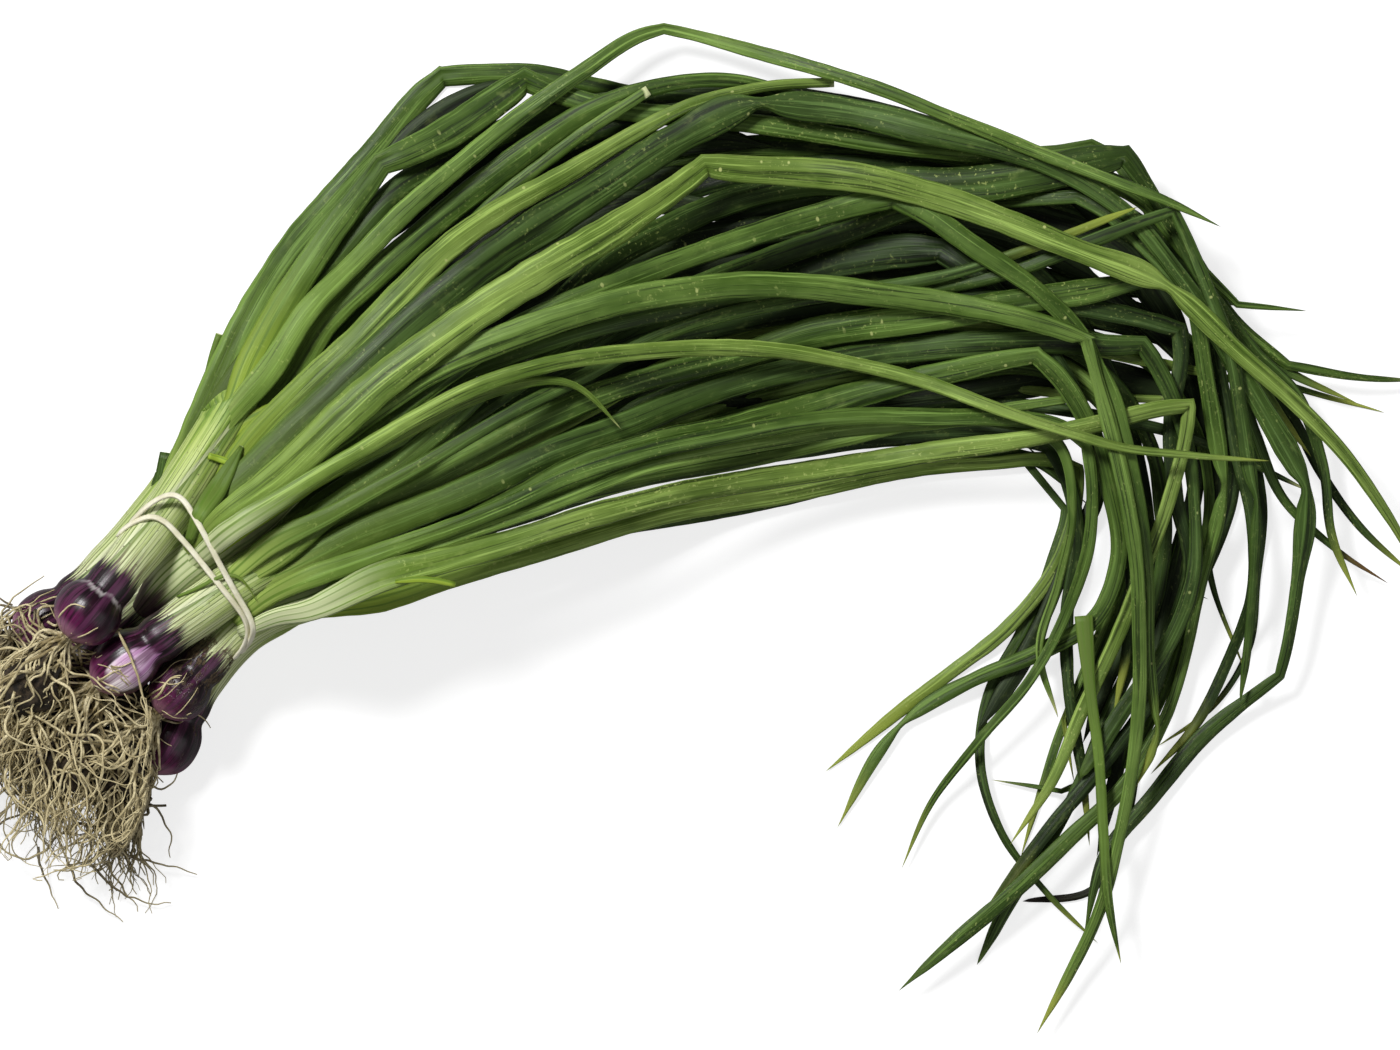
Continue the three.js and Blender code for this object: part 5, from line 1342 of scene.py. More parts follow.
def strands(name: str, lines: Sequence[tuple[np.ndarray, np.ndarray]], material: bpy.types.Material,
            sides: int = 5) -> bpy.types.Object:
    """Sweep round strands along lines.

    Args:
        name: Name of the piece.
        lines: Pairs of points and radii.
        material: What the strands are made of.
        sides: Points round a strand.

    Returns:
        One plain mesh object with all of them.
    """
    data = bpy.data.curves.new(name + "_lines", "CURVE")
    data.dimensions = "3D"
    for points, radii in lines:
        spline = data.splines.new("POLY")
        spline.points.add(len(points) - 1)
        spline.points.foreach_set("co", np.column_stack([points, np.ones(len(points))]).ravel())
        spline.points.foreach_set("radius", radii.astype(float))
    source = bpy.data.objects.new(name + "_lines", data)
    bpy.context.scene.collection.objects.link(source)
    tree = strand_tree(name + "_strands", material)
    grow = source.modifiers.new("strands", "NODES")
    grow.node_group = tree
    for item in tree.interface.items_tree:
        if item.in_out == "INPUT" and item.name == "Sides":
            grow[item.identifier] = sides
    bpy.context.view_layer.update()
    mesh = bpy.data.meshes.new_from_object(source.evaluated_get(bpy.context.evaluated_depsgraph_get()))
    mesh.name = name
    source.modifiers.remove(grow)
    bpy.data.objects.remove(source)
    obj = bpy.data.objects.new(name, mesh)
    bpy.context.scene.collection.objects.link(obj)
    return obj


@dataclass
class RootTuft:
    """Tangled roots of one onion, with a dark lump among them that is soil and painted shade.

    Attributes:
        number: The onion's number.
        combed: How many roots run down the tuft.
        stray: How many wander off across the others.
        thick: Radius of a root where it leaves the bulb.
        ceiling: Height above the table that the strays keep below.
    """

    number: int
    combed: int = 80
    stray: int = 60
    thick: float = 0.00056
    ceiling: float = 0.040

    def build(self, onion: Onion) -> bpy.types.Object:
        """Grow the roots.

        Args:
            onion: The onion that they grow on.

        Returns:
            The finished piece.
        """
        rng = random.Random(100 + self.number)
        start = onion.spine.centre[0]
        spine = Spine.of_node(f"roots_{self.number}", start)
        run = Spine(np.concatenate([start[None], spine.centre]), np.concatenate([[0.002], spine.wide]),
                    np.concatenate([[0.002], spine.high]))
        lines = [self._combed(run, rng) for _ in range(self.combed)]
        lines += [self._stray(run, rng) for _ in range(self.stray)]
        obj = strands(f"roots_{self.number}_strands", lines, ROOT_STUFF.material())
        finish_piece(obj, "roots", [f"roots_{self.number}"], ROOT_STUFF.material())
        soil_and_shade_lump(f"roots_{self.number}_soil", Spine(run.centre[:-1], np.maximum(run.wide * 0.95, 0.004)[:-1],
                                                     np.maximum(run.high * 0.85, 0.003)[:-1]), self.number)
        return obj

    def _radii(self, at: np.ndarray, rng: random.Random, seed: float) -> np.ndarray:
        """Thickness of one root: thinner and thinner, with swellings."""
        radii = self.thick * rng.choice((0.6, 0.8, 1.0, 1.2)) * (1 - 0.7 * (at / at[-1]) ** 1.6)
        return radii * (1 + 0.2 * wander(at / 0.005, seed, 8))

    def _combed(self, run: Spine, rng: random.Random) -> tuple[np.ndarray, np.ndarray]:
        """Grow a root that runs down the tuft.

        Args:
            run: The tuft's sections.
            rng: Source of its chances.

        Returns:
            Its points and radii.
        """
        s = run.stations()
        length = s[-1] * (rng.uniform(0.5, 1.0) if rng.random() < 0.75 else rng.uniform(0.95, 1.3))
        at = np.linspace(0, length, max(10, int(length / 0.0019)))
        seed = rng.uniform(0, 400)
        aim, far = 2 * math.pi * rng.random(), math.sqrt(rng.random())
        centre = np.column_stack([np.interp(at, s, run.centre[:, i]) for i in range(3)])
        last = (run.centre[-1] - run.centre[-2]) / (s[-1] - s[-2])
        centre += np.clip(at - s[-1], 0, None)[:, None] * last
        side = frames_along(centre, 1)[1]
        wide = np.maximum(np.interp(at, s, run.wide), 0.008 * smooth(0.3, 1.0, at / s[-1]))
        high = np.maximum(np.interp(at, s, run.high), 0.0032)
        loose = smooth(0.0, 0.010, at)
        u = far * math.cos(aim) + loose * (0.8 * wander(at / 0.018, seed) + 0.18 * wander(at / 0.005, seed, 4))
        v = far * math.sin(aim) + loose * (0.9 * wander(at / 0.015, seed, 1) + 0.18 * wander(at / 0.005, seed, 5))
        points = centre + side * (u * wide)[:, None]
        points[:, 2] += v * high - 0.004 * smooth(0.8, 1.4, at / s[-1]) * rng.random()
        radii = self._radii(at, rng, seed)
        points[:, 2] = np.maximum(points[:, 2], radii + 0.0002)
        return points, radii

    def _stray(self, run: Spine, rng: random.Random) -> tuple[np.ndarray, np.ndarray]:
        """Grow a root that curls across its neighbours.

        Args:
            run: The tuft's sections.
            rng: Source of its chances.

        Returns:
            Its points and radii.
        """
        length, pace = rng.uniform(0.024, 0.062), 0.0017
        at = np.arange(0, length, pace)
        seed, s = rng.uniform(0, 400), run.stations()
        begin = rng.random() ** 1.5 * 0.6 * s[-1]
        place = np.array([np.interp(begin, s, run.centre[:, i]) for i in range(3)])
        place[:2] += np.array([rng.gauss(0, 0.004), rng.gauss(0, 0.004)]) * min(1.0, begin / 0.01)
        out = run.centre[-1] - run.centre[0]
        bearing = math.atan2(out[1], out[0]) + rng.gauss(0, 1.0)
        bend = 1.2 * wander(at / 0.020, seed) + 0.5 * wander(at / 0.0060, seed, 3)
        hub = TANGLE[:2] * MM + SHIFT
        points = []
        for turn in bend:
            points.append(place.copy())
            pull = hub - place[:2]
            away = np.linalg.norm(pull / (TANGLE[2:] * MM))
            step = np.array([math.cos(bearing + turn), math.sin(bearing + turn)])
            step += pull / np.linalg.norm(pull) * 1.6 * float(smooth(0.75, 1.25, away))
            place[:2] += step / np.linalg.norm(step) * pace
        points = np.array(points)
        top = rng.uniform(0.004, self.ceiling)
        lift = smooth(0.0, 0.014, at)
        points[:, 2] = points[:, 2] * (1 - lift) + top * lift + 0.0028 * wander(at / 0.011, seed, 6) * lift
        radii = self._radii(at, rng, seed)
        points[:, 2] = np.maximum(points[:, 2], radii + 0.0002)
        return points, radii


def soil_and_shade_lump(name: str, run: Spine, seed: float) -> None:
    """Dark lump between the roots: dry soil, darkened to stand as painted shade in the tangle.

    Args:
        name: Name of the piece.
        run: Sections that it fills.
        seed: Picks its shape.
    """
    body, at, _ = run.resampled(0.0016)
    _, side, up = frames_along(body.centre, 2)
    angle = 2 * math.pi * np.arange(22) / 22
    lump = np.array([[1 + 0.42 * noise.noise(Vector((1.7 * math.cos(a), 1.7 * math.sin(a), s * 130 + seed)))
                      + 0.2 * noise.noise(Vector((5 * math.cos(a), 5 * math.sin(a), s * 420)))
                      for a in angle] for s in at])
    lump *= np.sqrt(np.clip(np.minimum(at + 0.0005, 0.96 * at[-1] - at) / 0.008, 0.01, 1))[:, None]
    rings = (body.centre[:, None] + side[:, None] * (lump * np.cos(angle) * body.wide[:, None])[..., None]
             + up[:, None] * (lump * np.sin(angle) * body.high[:, None])[..., None])
    rings[..., 2] = np.maximum(rings[..., 2], 0.0002)
    finish_piece(Shell(rings, at, 0.02, at / at[-1], 0.5).build(name), "roots", [], SOIL_AND_SHADE.material())


@dataclass
class LooseRoots:
    """Thin roots that lie across the bulbs, some drawn where they show most.

    Attributes:
        patches: Middle, radius and number of the roots of each patch, in millimetres.
        drawn: Roots set down point by point: along the bunch, across it and height, in millimetres.
        thick: Radius of a root.
    """

    patches: Sequence[tuple[float, float, float, int]] = (
        (-197, -62, 8, 22), (-236, -35, 11, 30), (-205, -53, 6, 8), (-224, -40, 9, 16),
        (-198, -68, 8, 14))
    drawn: Sequence[Sequence[tuple[float, float, float]]] = (
        ((-240, -40, 22), (-245, -31, 23), (-240, -25, 24), (-235, -22, 24), (-232, -18.5, 24), (-229, -17, 23.5)),
        ((-247, -36, 20), (-241, -31, 22), (-236, -27, 24), (-231, -24.5, 24), (-226, -22, 22)),
        ((-252, -34, 16), (-247, -27, 18), (-246, -21, 19), (-247.5, -15, 18)),
        ((-198, -84, 16), (-194, -90, 15), (-188, -92, 13), (-183, -88.5, 12), (-182.5, -85, 12),
         (-184.5, -82, 12.5)),
        ((-196, -96, 12), (-190, -99, 9), (-186.5, -106, 7), (-186.5, -116, 4)),
        ((-205, -112, 12), (-198, -117, 9), (-189, -118, 6), (-181, -121, 3), (-177, -121.5, 2)),
        ((-213, -118, 10), (-206, -126, 7), (-199, -131, 4), (-193, -132, 2), (-186, -132, 1.5)),
        ((-222, -116, 9), (-219, -126, 6), (-212, -132, 3), (-203, -139, 2)),
        ((-232, -112, 8), (-232, -120, 6), (-228, -128, 3), (-226, -134, 2)))
    thick: float = 0.00045

    def build(self, trees: Sequence[BVHTree]) -> bpy.types.Object:
        """Lay the roots down.

        Args:
            trees: Surfaces of the bulbs.

        Returns:
            The finished piece.
        """
        rng = random.Random(77)
        lines = []
        for x, y, radius, count in self.patches:
            lines += [self._curl(np.array([x, y]) * MM + SHIFT, radius * MM, trees, rng) for _ in range(count)]
        for places in self.drawn:
            table = np.array(places) * MM
            table[:, :2] += SHIFT
            s = np.concatenate([[0], np.cumsum(np.linalg.norm(np.diff(table, axis=0), axis=1))])
            at = np.linspace(0, s[-1], max(12, int(s[-1] / 0.0012)))
            points = blurred(np.column_stack([np.interp(at, s, table[:, i]) for i in range(3)]), 6)
            seed = rng.uniform(0, 400)
            points += 0.0008 * np.column_stack([wander(at / 0.005, seed, k) for k in range(3)])
            points[:, 2] = np.maximum(points[:, 2], self.thick)
            lines.append((points, self.thick * (1.25 - 0.85 * at / at[-1])))
        obj = strands("roots_loose_strands", lines, ROOT_STUFF.material())
        finish_piece(obj, "roots", [], ROOT_STUFF.material())
        return obj

    def _curl(self, hub: np.ndarray, radius: float, trees: Sequence[BVHTree],
              rng: random.Random) -> tuple[np.ndarray, np.ndarray]:
        """Lay a root that curls over what lies there.

        Args:
            hub: Middle of its patch.
            radius: Radius of its patch.
            trees: Surfaces of the bulbs.
            rng: Source of its chances.

        Returns:
            Its points and radii.
        """
        pace = 0.0013
        at = np.arange(0, rng.uniform(0.008, 0.026), pace)
        angle, far = 2 * math.pi * rng.random(), radius * math.sqrt(rng.random())
        place = hub + far * np.array([math.cos(angle), math.sin(angle)])
        bearing, seed = rng.uniform(-2.9, 0.4), rng.uniform(0, 400)
        points = []
        for turn in 1.4 * wander(at / 0.012, seed) + 0.7 * wander(at / 0.004, seed, 3):
            height = surface_height(Vector((*place, 0.2)), trees)
            points.append((*place, height))
            place = place + pace * np.array([math.cos(bearing + turn), math.sin(bearing + turn)])
        points = np.array(points)
        points[:, 2] = np.maximum(points[:, 2], 0.6 * points[:, 2].max())
        points = blurred(points, 3)
        radii = self.thick * rng.uniform(0.6, 1.3) * (1 - 0.6 * at / at[-1])
        points[:, 2] += radii * 1.3
        return points, radii


# ---- rubber band --------------------------------------------------------------------------------
@dataclass
class RubberBand:
    """A flat band that goes round the stems twice, pulled tight over the outermost of them.

    Attributes:
        turns: Plan points of each turn where it crosses over the top, in millimetres, left to right.
        width: Width of the band.
        thickness: Thickness of the band.
        lift: How far each turn lies off the stems at its middle.
    """

    turns: Sequence[Sequence[tuple[float, float]]] = (
        ((-197, 1), (-192, 6), (-187, 9.6), (-182, 11.4), (-178.5, 9.5), (-175, 4), (-171.5, -2), (-166.5, -12),
         (-160, -24), (-156.5, -30), (-154.5, -35), (-156, -39), (-159.5, -43)),
        ((-201, -3), (-198, 0), (-193, 2.6), (-189, 3.7), (-184.5, 1.4), (-180, -3.5), (-176, -8), (-168, -18),
         (-162, -25.5), (-158, -31), (-156.5, -36), (-158.5, -41), (-162, -45)))
    width: float = 0.0019
    thickness: float = 0.0009
    lift: Sequence[float] = (0.0013, 0.0004)

    def build(self, stems: Sequence[bpy.types.Object]) -> bpy.types.Object:
        """Lay both turns over the stems and join them.

        Args:
            stems: The onions that it holds.

        Returns:
            The finished piece.
        """
        trees = surface_trees(stems)
        shells = [self._turn(np.array(points) * MM + SHIFT, lift, trees)
                  for points, lift in zip(self.turns, self.lift)]
        bpy.ops.object.select_all(action="DESELECT")
        for obj in shells:
            obj.select_set(True)
        bpy.context.view_layer.objects.active = shells[0]
        bpy.ops.object.join()
        band = shells[0]
        band.name = band.data.name = "band_turns"
        finish_piece(band, "band", ["band"], RUBBER.material())
        return band

    def _turn(self, plan: np.ndarray, lift: float, trees: Sequence[BVHTree]) -> bpy.types.Object:
        """Make one turn.

        Args:
            plan: Points that it passes over, in metres.
            lift: Distance off the stems at its middle.
            trees: Surfaces that it lies on.

        Returns:
            A closed ring of band.
        """
        steps = np.concatenate([[0], np.cumsum(np.linalg.norm(np.diff(plan, axis=0), axis=1))])
        at = np.linspace(0, steps[-1], 90)
        path = np.column_stack([np.interp(at, steps, plan[:, i]) for i in range(2)])
        path = blurred(path, 4)
        chord = path[0] + (path[-1] - path[0]) * (at / at[-1])[:, None]

        def surface(points: np.ndarray, sign: int) -> np.ndarray:
            """Find the height of the stems at each place.

            Args:
                points: Places in plan.
                sign: 1 for their tops and -1 for their undersides.

            Returns:
                The heights, nan where there is no stem.
            """
            heights = []
            for x, y in points:
                hits = [t.ray_cast(Vector((x, y, 0.2 * sign)), Vector((0, 0, -sign))) for t in trees]
                found = [h[0].z for h in hits if h[0] is not None]
                heights.append(sign * max(sign * z for z in found) if found else np.nan)
            return np.array(heights)

        top, low = surface(path, 1), surface(chord, -1)
        centre = np.nanmean(np.concatenate([top, low]))
        top, low = taut(at, top, 1), taut(at, low, -1)
        over = np.column_stack([path, top + lift * np.sin(np.pi * at / at[-1]) + 0.0003])
        under = np.column_stack([chord, np.maximum(low - 0.0006, 0.0006)])[::-1]
        loop = evened(np.concatenate([over[np.isfinite(over[:, 2])], under[np.isfinite(under[:, 2])]]), 200)
        return closed_ring(self._wrap(loop, float(centre)), "band_turn")

    def _wrap(self, loop: np.ndarray, height: float) -> np.ndarray:
        """Lay the flat section of the band along a loop, with its back to the stems.

        Args:
            loop: Points of the loop.
            height: Height of the middle of the stems.

        Returns:
            Points, shaped section by place round it by 3.
        """
        ahead = np.roll(loop, -1, axis=0) - np.roll(loop, 1, axis=0)
        ahead /= np.linalg.norm(ahead, axis=1)[:, None]
        hub = np.array([loop[:, 0].mean(), loop[:, 1].mean(), height])
        outward = loop - hub
        outward -= ahead * np.einsum("ij,ij->i", outward, ahead)[:, None]
        outward /= np.linalg.norm(outward, axis=1)[:, None]
        outward = sum(np.roll(outward, k, axis=0) for k in range(-6, 7))
        outward /= np.linalg.norm(outward, axis=1)[:, None]
        across = np.cross(ahead, outward)
        w, h = self.width / 2, self.thickness / 2
        corners = [(-w, h), (-0.4 * w, h * 1.1), (0.4 * w, h * 1.1), (w, h), (w * 1.02, 0), (w, -h), (-w, -h),
                   (-w * 1.02, 0)]
        return np.stack([loop + across * a + outward * (b + h) for a, b in corners], axis=1)


def evened(loop: np.ndarray, count: int) -> np.ndarray:
    """Space the points of a closed loop evenly and round its corners off.

    Args:
        loop: Points of the loop.
        count: How many points the new one has.

    Returns:
        The new points.
    """
    closed = np.vstack([loop, loop[:1]])
    spacing = np.concatenate([[0], np.cumsum(np.linalg.norm(np.diff(closed, axis=0), axis=1))])
    even = np.linspace(0, spacing[-1], count + 1)[:-1]
    loop = np.column_stack([np.interp(even, spacing, closed[:, i]) for i in range(3)])
    for _ in range(3):
        loop = (np.roll(loop, 1, axis=0) + 2 * loop + np.roll(loop, -1, axis=0)) / 4
    return loop


def blurred(points: np.ndarray, times: int) -> np.ndarray:
    """Round off a run of points, with its two ends held.

    Args:
        points: The run.
        times: How often it is rounded off.

    Returns:
        The new run.
    """
    points = points.copy()
    for _ in range(times):
        points[1:-1] = (points[:-2] + 2 * points[1:-1] + points[2:]) / 4
    return points


def taut(at: np.ndarray, height: np.ndarray, sign: int) -> np.ndarray:
    """Pull a line tight over bumps.

    Args:
        at: Places along it.
        height: Height of what it lies on, nan where there is nothing.
        sign: 1 where it lies on top and -1 where it lies underneath.

    Returns:
        Height of the line at each place, nan past the outermost bumps.
    """
    known = [(a, sign * h) for a, h in zip(at, height) if np.isfinite(h)]
    hull: list[tuple[float, float]] = []
    for p in known:
        while len(hull) > 1 and ((hull[-1][0] - hull[-2][0]) * (p[1] - hull[-2][1])
                                 - (hull[-1][1] - hull[-2][1]) * (p[0] - hull[-2][0])) >= 0:
            hull.pop()
        hull.append(p)
    xs, zs = zip(*hull)
    return np.interp(at, xs, np.array(zs) * sign, left=np.nan, right=np.nan)


def closed_ring(rings: np.ndarray, name: str) -> bpy.types.Object:
    """Join a run of sections into a ring that closes on itself.

    Args:
        rings: Points, shaped section by place round it by 3.
        name: Name of the object.

    Returns:
        The new object.
    """
    count, sides = rings.shape[:2]
    faces = [(j * sides + k, j * sides + (k + 1) % sides, (j + 1) % count * sides + (k + 1) % sides,
              (j + 1) % count * sides + k) for j in range(count) for k in range(sides)]
    mesh = bpy.data.meshes.new(name)
    mesh.from_pydata(rings.reshape(-1, 3).tolist(), [], faces)
    mesh.shade_smooth()
    obj = bpy.data.objects.new(name, mesh)
    bpy.context.scene.collection.objects.link(obj)
    work = bmesh.new()
    work.from_mesh(mesh)
    bmesh.ops.recalc_face_normals(work, faces=work.faces)
    work.to_mesh(mesh)
    work.free()
    return obj


# ---- white table, soft light and camera ---------------------------------------------------------
@dataclass
class Studio:
    """A white table under soft light, seen from straight above.

    Attributes:
        view: Width of table that the camera sees, in metres.
        height: Height of the camera.
    """

    view: float = 0.4925
    height: float = 2.5

    def build(self) -> None:
        """Make the table, the light and the camera."""
        scene = bpy.context.scene
        scene.view_settings.view_transform = "Standard"
        self._table()
        self._world(scene)
        self._lamp("key", (-0.8, 0.9, 1.5), 0.42, 39.0)
        self._lamp("fill", (1.1, -0.7, 1.4), 1.4, 7.0)
        camera = bpy.data.cameras.new("camera")
        camera.sensor_width = 36.0
        camera.lens = 36.0 * self.height / self.view
        camera.clip_end = 20.0
        seat = bpy.data.objects.new("camera", camera)
        seat.location = (float(SHIFT[0]) - 0.35 * MM, float(SHIFT[1]) + 0.70 * MM, self.height)
        scene.collection.objects.link(seat)
        scene.camera = seat

    def _table(self) -> None:
        """A white table that only the shade of the bunch darkens."""
        g = Graph("white_table")
        g.shader.inputs["Base Color"].default_value = (0.40, 0.40, 0.40, 1)
        g.shader.inputs["Roughness"].default_value = 0.9
        seen = g.node("ShaderNodeLightPath", {}).outputs["Is Camera Ray"]
        g.feed(g.shader.inputs["Emission Color"], (1.0, 1.0, 1.0))
        g.feed(g.shader.inputs["Emission Strength"], g.times(seen, 0.74))
        mesh = bpy.data.meshes.new("table")
        mesh.from_pydata([(-6, -6, 0), (6, -6, 0), (6, 6, 0), (-6, 6, 0)], [], [(0, 1, 2, 3)])
        mesh.materials.append(g.material)
        table = bpy.data.objects.new("table", mesh)
        bpy.context.scene.collection.objects.link(table)

    def _world(self, scene: bpy.types.Scene) -> None:
        """Even pale light from all round, plain white where it is seen.

        Args:
            scene: The scene that it lights.
        """
        world = bpy.data.worlds.new("studio")
        world.use_nodes = True
        tree = world.node_tree
        tree.nodes.clear()
        out, back = tree.nodes.new("ShaderNodeOutputWorld"), tree.nodes.new("ShaderNodeBackground")
        path, level = tree.nodes.new("ShaderNodeLightPath"), tree.nodes.new("ShaderNodeMapRange")
        level.inputs["To Min"].default_value, level.inputs["To Max"].default_value = 0.17, 1.0
        back.inputs["Color"].default_value = (1, 1, 1, 1)
        tree.links.new(path.outputs["Is Camera Ray"], level.inputs["Value"])
        tree.links.new(level.outputs[0], back.inputs["Strength"])
        tree.links.new(back.outputs[0], out.inputs["Surface"])
        scene.world = world

    def _lamp(self, name: str, place: tuple[float, float, float], size: float, power: float) -> None:
        """Hang a square soft box that faces the bunch.

        Args:
            name: Name of the lamp.
            place: Where it hangs, in metres.
            size: Its side, in metres.
            power: Its power, in watts.
        """
        light = bpy.data.lights.new(name, "AREA")
        light.size, light.energy = size, power
        lamp = bpy.data.objects.new(name, light)
        lamp.location = place
        lamp.rotation_euler = Vector(place).to_track_quat("Z", "Y").to_euler()
        bpy.context.scene.collection.objects.link(lamp)


# ---- the bunch ----------------------------------------------------------------------------------
ONIONS = (
    Onion(6, OnionFinish(neck=0.030)),
    Onion(5, OnionFinish(neck=0.031, soil=0.2)),
    Onion(2, OnionFinish(neck=0.034), notch=0.22),
    Onion(4, OnionFinish(neck=0.026, soil=0.95), notch=0.25),
    Onion(3, OnionFinish(neck=0.033, patch=(0.0145, 0.565))),
    Onion(1, OnionFinish(neck=0.027, jagged=0.012, film=0.0185), notch=0.30, reach=0.024),
)

LEAVES = (
    Leaf("leaf_6a", LeafFinish(Tone.MID)),
    Leaf("leaf_6b", LeafFinish(Tone.DARK, Tip.CUT)),
    Leaf("leaf_6c", LeafFinish(Tone.DARK)),
    Leaf("leaf_6d", LeafFinish(Tone.DARK)),
    Leaf("leaf_6e", LeafFinish(Tone.DARK)),
    Leaf("leaf_6f", LeafFinish(Tone.DARK, Tip.BLACK)),
    Leaf("leaf_6g", LeafFinish(Tone.MID)),
    Leaf("leaf_6h", LeafFinish(Tone.SHADED, Tip.GREEN, Base.GREEN)),
    Leaf("leaf_5a", LeafFinish(Tone.BRIGHT, Tip.CUT)),
    Leaf("leaf_5b", LeafFinish(Tone.DEEP, Tip.GREEN)),
    Leaf("leaf_5c", LeafFinish(Tone.MID)),
    Leaf("leaf_5d", LeafFinish(Tone.FRESH)),
    Leaf("leaf_5e", LeafFinish(Tone.MID, Tip.PALE)),
    Leaf("leaf_5f", LeafFinish(Tone.DEEP, Tip.GREEN)),
    Leaf("leaf_5g", LeafFinish(Tone.DARK, Tip.PALE)),
    Leaf("leaf_5h", LeafFinish(Tone.SHADED)),
    Leaf("leaf_4h", LeafFinish(Tone.DARK)),
    Leaf("leaf_4a", LeafFinish(Tone.DEEP)),
    Leaf("leaf_4b", LeafFinish(Tone.BRIGHT, Tip.GOLD, Base.LIME, 0.6)),
    Leaf("leaf_3a", LeafFinish(Tone.BRIGHT, Tip.PALE, Base.WHITE)),
    Leaf("leaf_1a", LeafFinish(Tone.DEEP)),
    Leaf("leaf_1b", LeafFinish(Tone.DARK)),
    Leaf("leaf_1c", LeafFinish(Tone.MID, Tip.PALE, Base.LIME, 0.5)),
    Leaf("leaf_1d", LeafFinish(Tone.MID, Tip.GREEN)),
    Leaf("leaf_1e", LeafFinish(Tone.FRESH, Tip.CUT, Base.LIME)),
    Leaf("leaf_3b", LeafFinish(Tone.DARK)),
    Leaf("leaf_3c", LeafFinish(Tone.DARK)),
    Leaf("leaf_3d", LeafFinish(Tone.MID, Tip.GREEN, Base.PALE, 0.5)),
    Leaf("leaf_3e", LeafFinish(Tone.DEEP, Tip.GREEN, Base.PALE, 0.2, True)),
    Leaf("leaf_3f", LeafFinish(Tone.DEEP, Tip.BROWN)),
    Leaf("leaf_3g", LeafFinish(Tone.DEEP, Tip.YELLOW, Base.PALE, 0.7), ridges=0.16),
    Leaf("leaf_4c", LeafFinish(Tone.FRESH, Tip.CUT)),
    Leaf("leaf_4d", LeafFinish(Tone.MID, Tip.YELLOW, Base.WHITE)),
    Leaf("leaf_4e", LeafFinish(Tone.FRESH, Tip.PALE)),
    Leaf("leaf_4f", LeafFinish(Tone.MID)),
    Leaf("leaf_4g", LeafFinish(Tone.BRIGHT, Tip.YELLOW, Base.WHITE, 1.0)),
    Leaf("leaf_2a", LeafFinish(Tone.BRIGHT, Tip.CUT, Base.LIME, 0.4)),
    Leaf("leaf_2b", LeafFinish(Tone.DEEP, Tip.GREEN), ridges=0.16),
    Leaf("leaf_2c", LeafFinish(Tone.DEEP, Tip.GREEN), ridges=0.12),
    Leaf("leaf_3h", LeafFinish(Tone.DEEP, Tip.GOLD)),
    Leaf("leaf_2d", LeafFinish(Tone.MID)),
    Leaf("leaf_2e", LeafFinish(Tone.BRIGHT, Tip.PALE, Base.LIME), supple=True),
    Leaf("leaf_2f", LeafFinish(Tone.FRESH)),
    Leaf("leaf_2g", LeafFinish(Tone.BRIGHT, Tip.YELLOW, Base.PALE, 0.5)),
    Leaf("leaf_1f", LeafFinish(Tone.FRESH, Tip.GREEN, Base.PALE, 0.5)),
    Leaf("leaf_2h", LeafFinish(Tone.BRIGHT, Tip.YELLOW, Base.WHITE)),
    Leaf("leaf_loose", LeafFinish(Tone.MID, Tip.YELLOW, Base.GREEN), edge=1.0, hollow=0.1),
)

# A low dark lump beneath the bulbs: soil, and painted shade where the table would show between them.
SOIL_AND_SHADE_BED = Spine(np.array([(-216, -60, 10), (-205, -60, 16), (-197, -62, 19), (-190, -68, 17)]) * MM + (*SHIFT, 0),
                 np.array([6, 9, 9, 5]) * MM, np.array([6, 8, 8, 5]) * MM)

SHEATH = LeafFinish(Tone.SHEATH, Tip.PALE, Base.WHITE, 0.0, stain=0.016)
UNDER = LeafFinish(Tone.SHADED, Tip.GREEN, Base.NONE, 0.1)

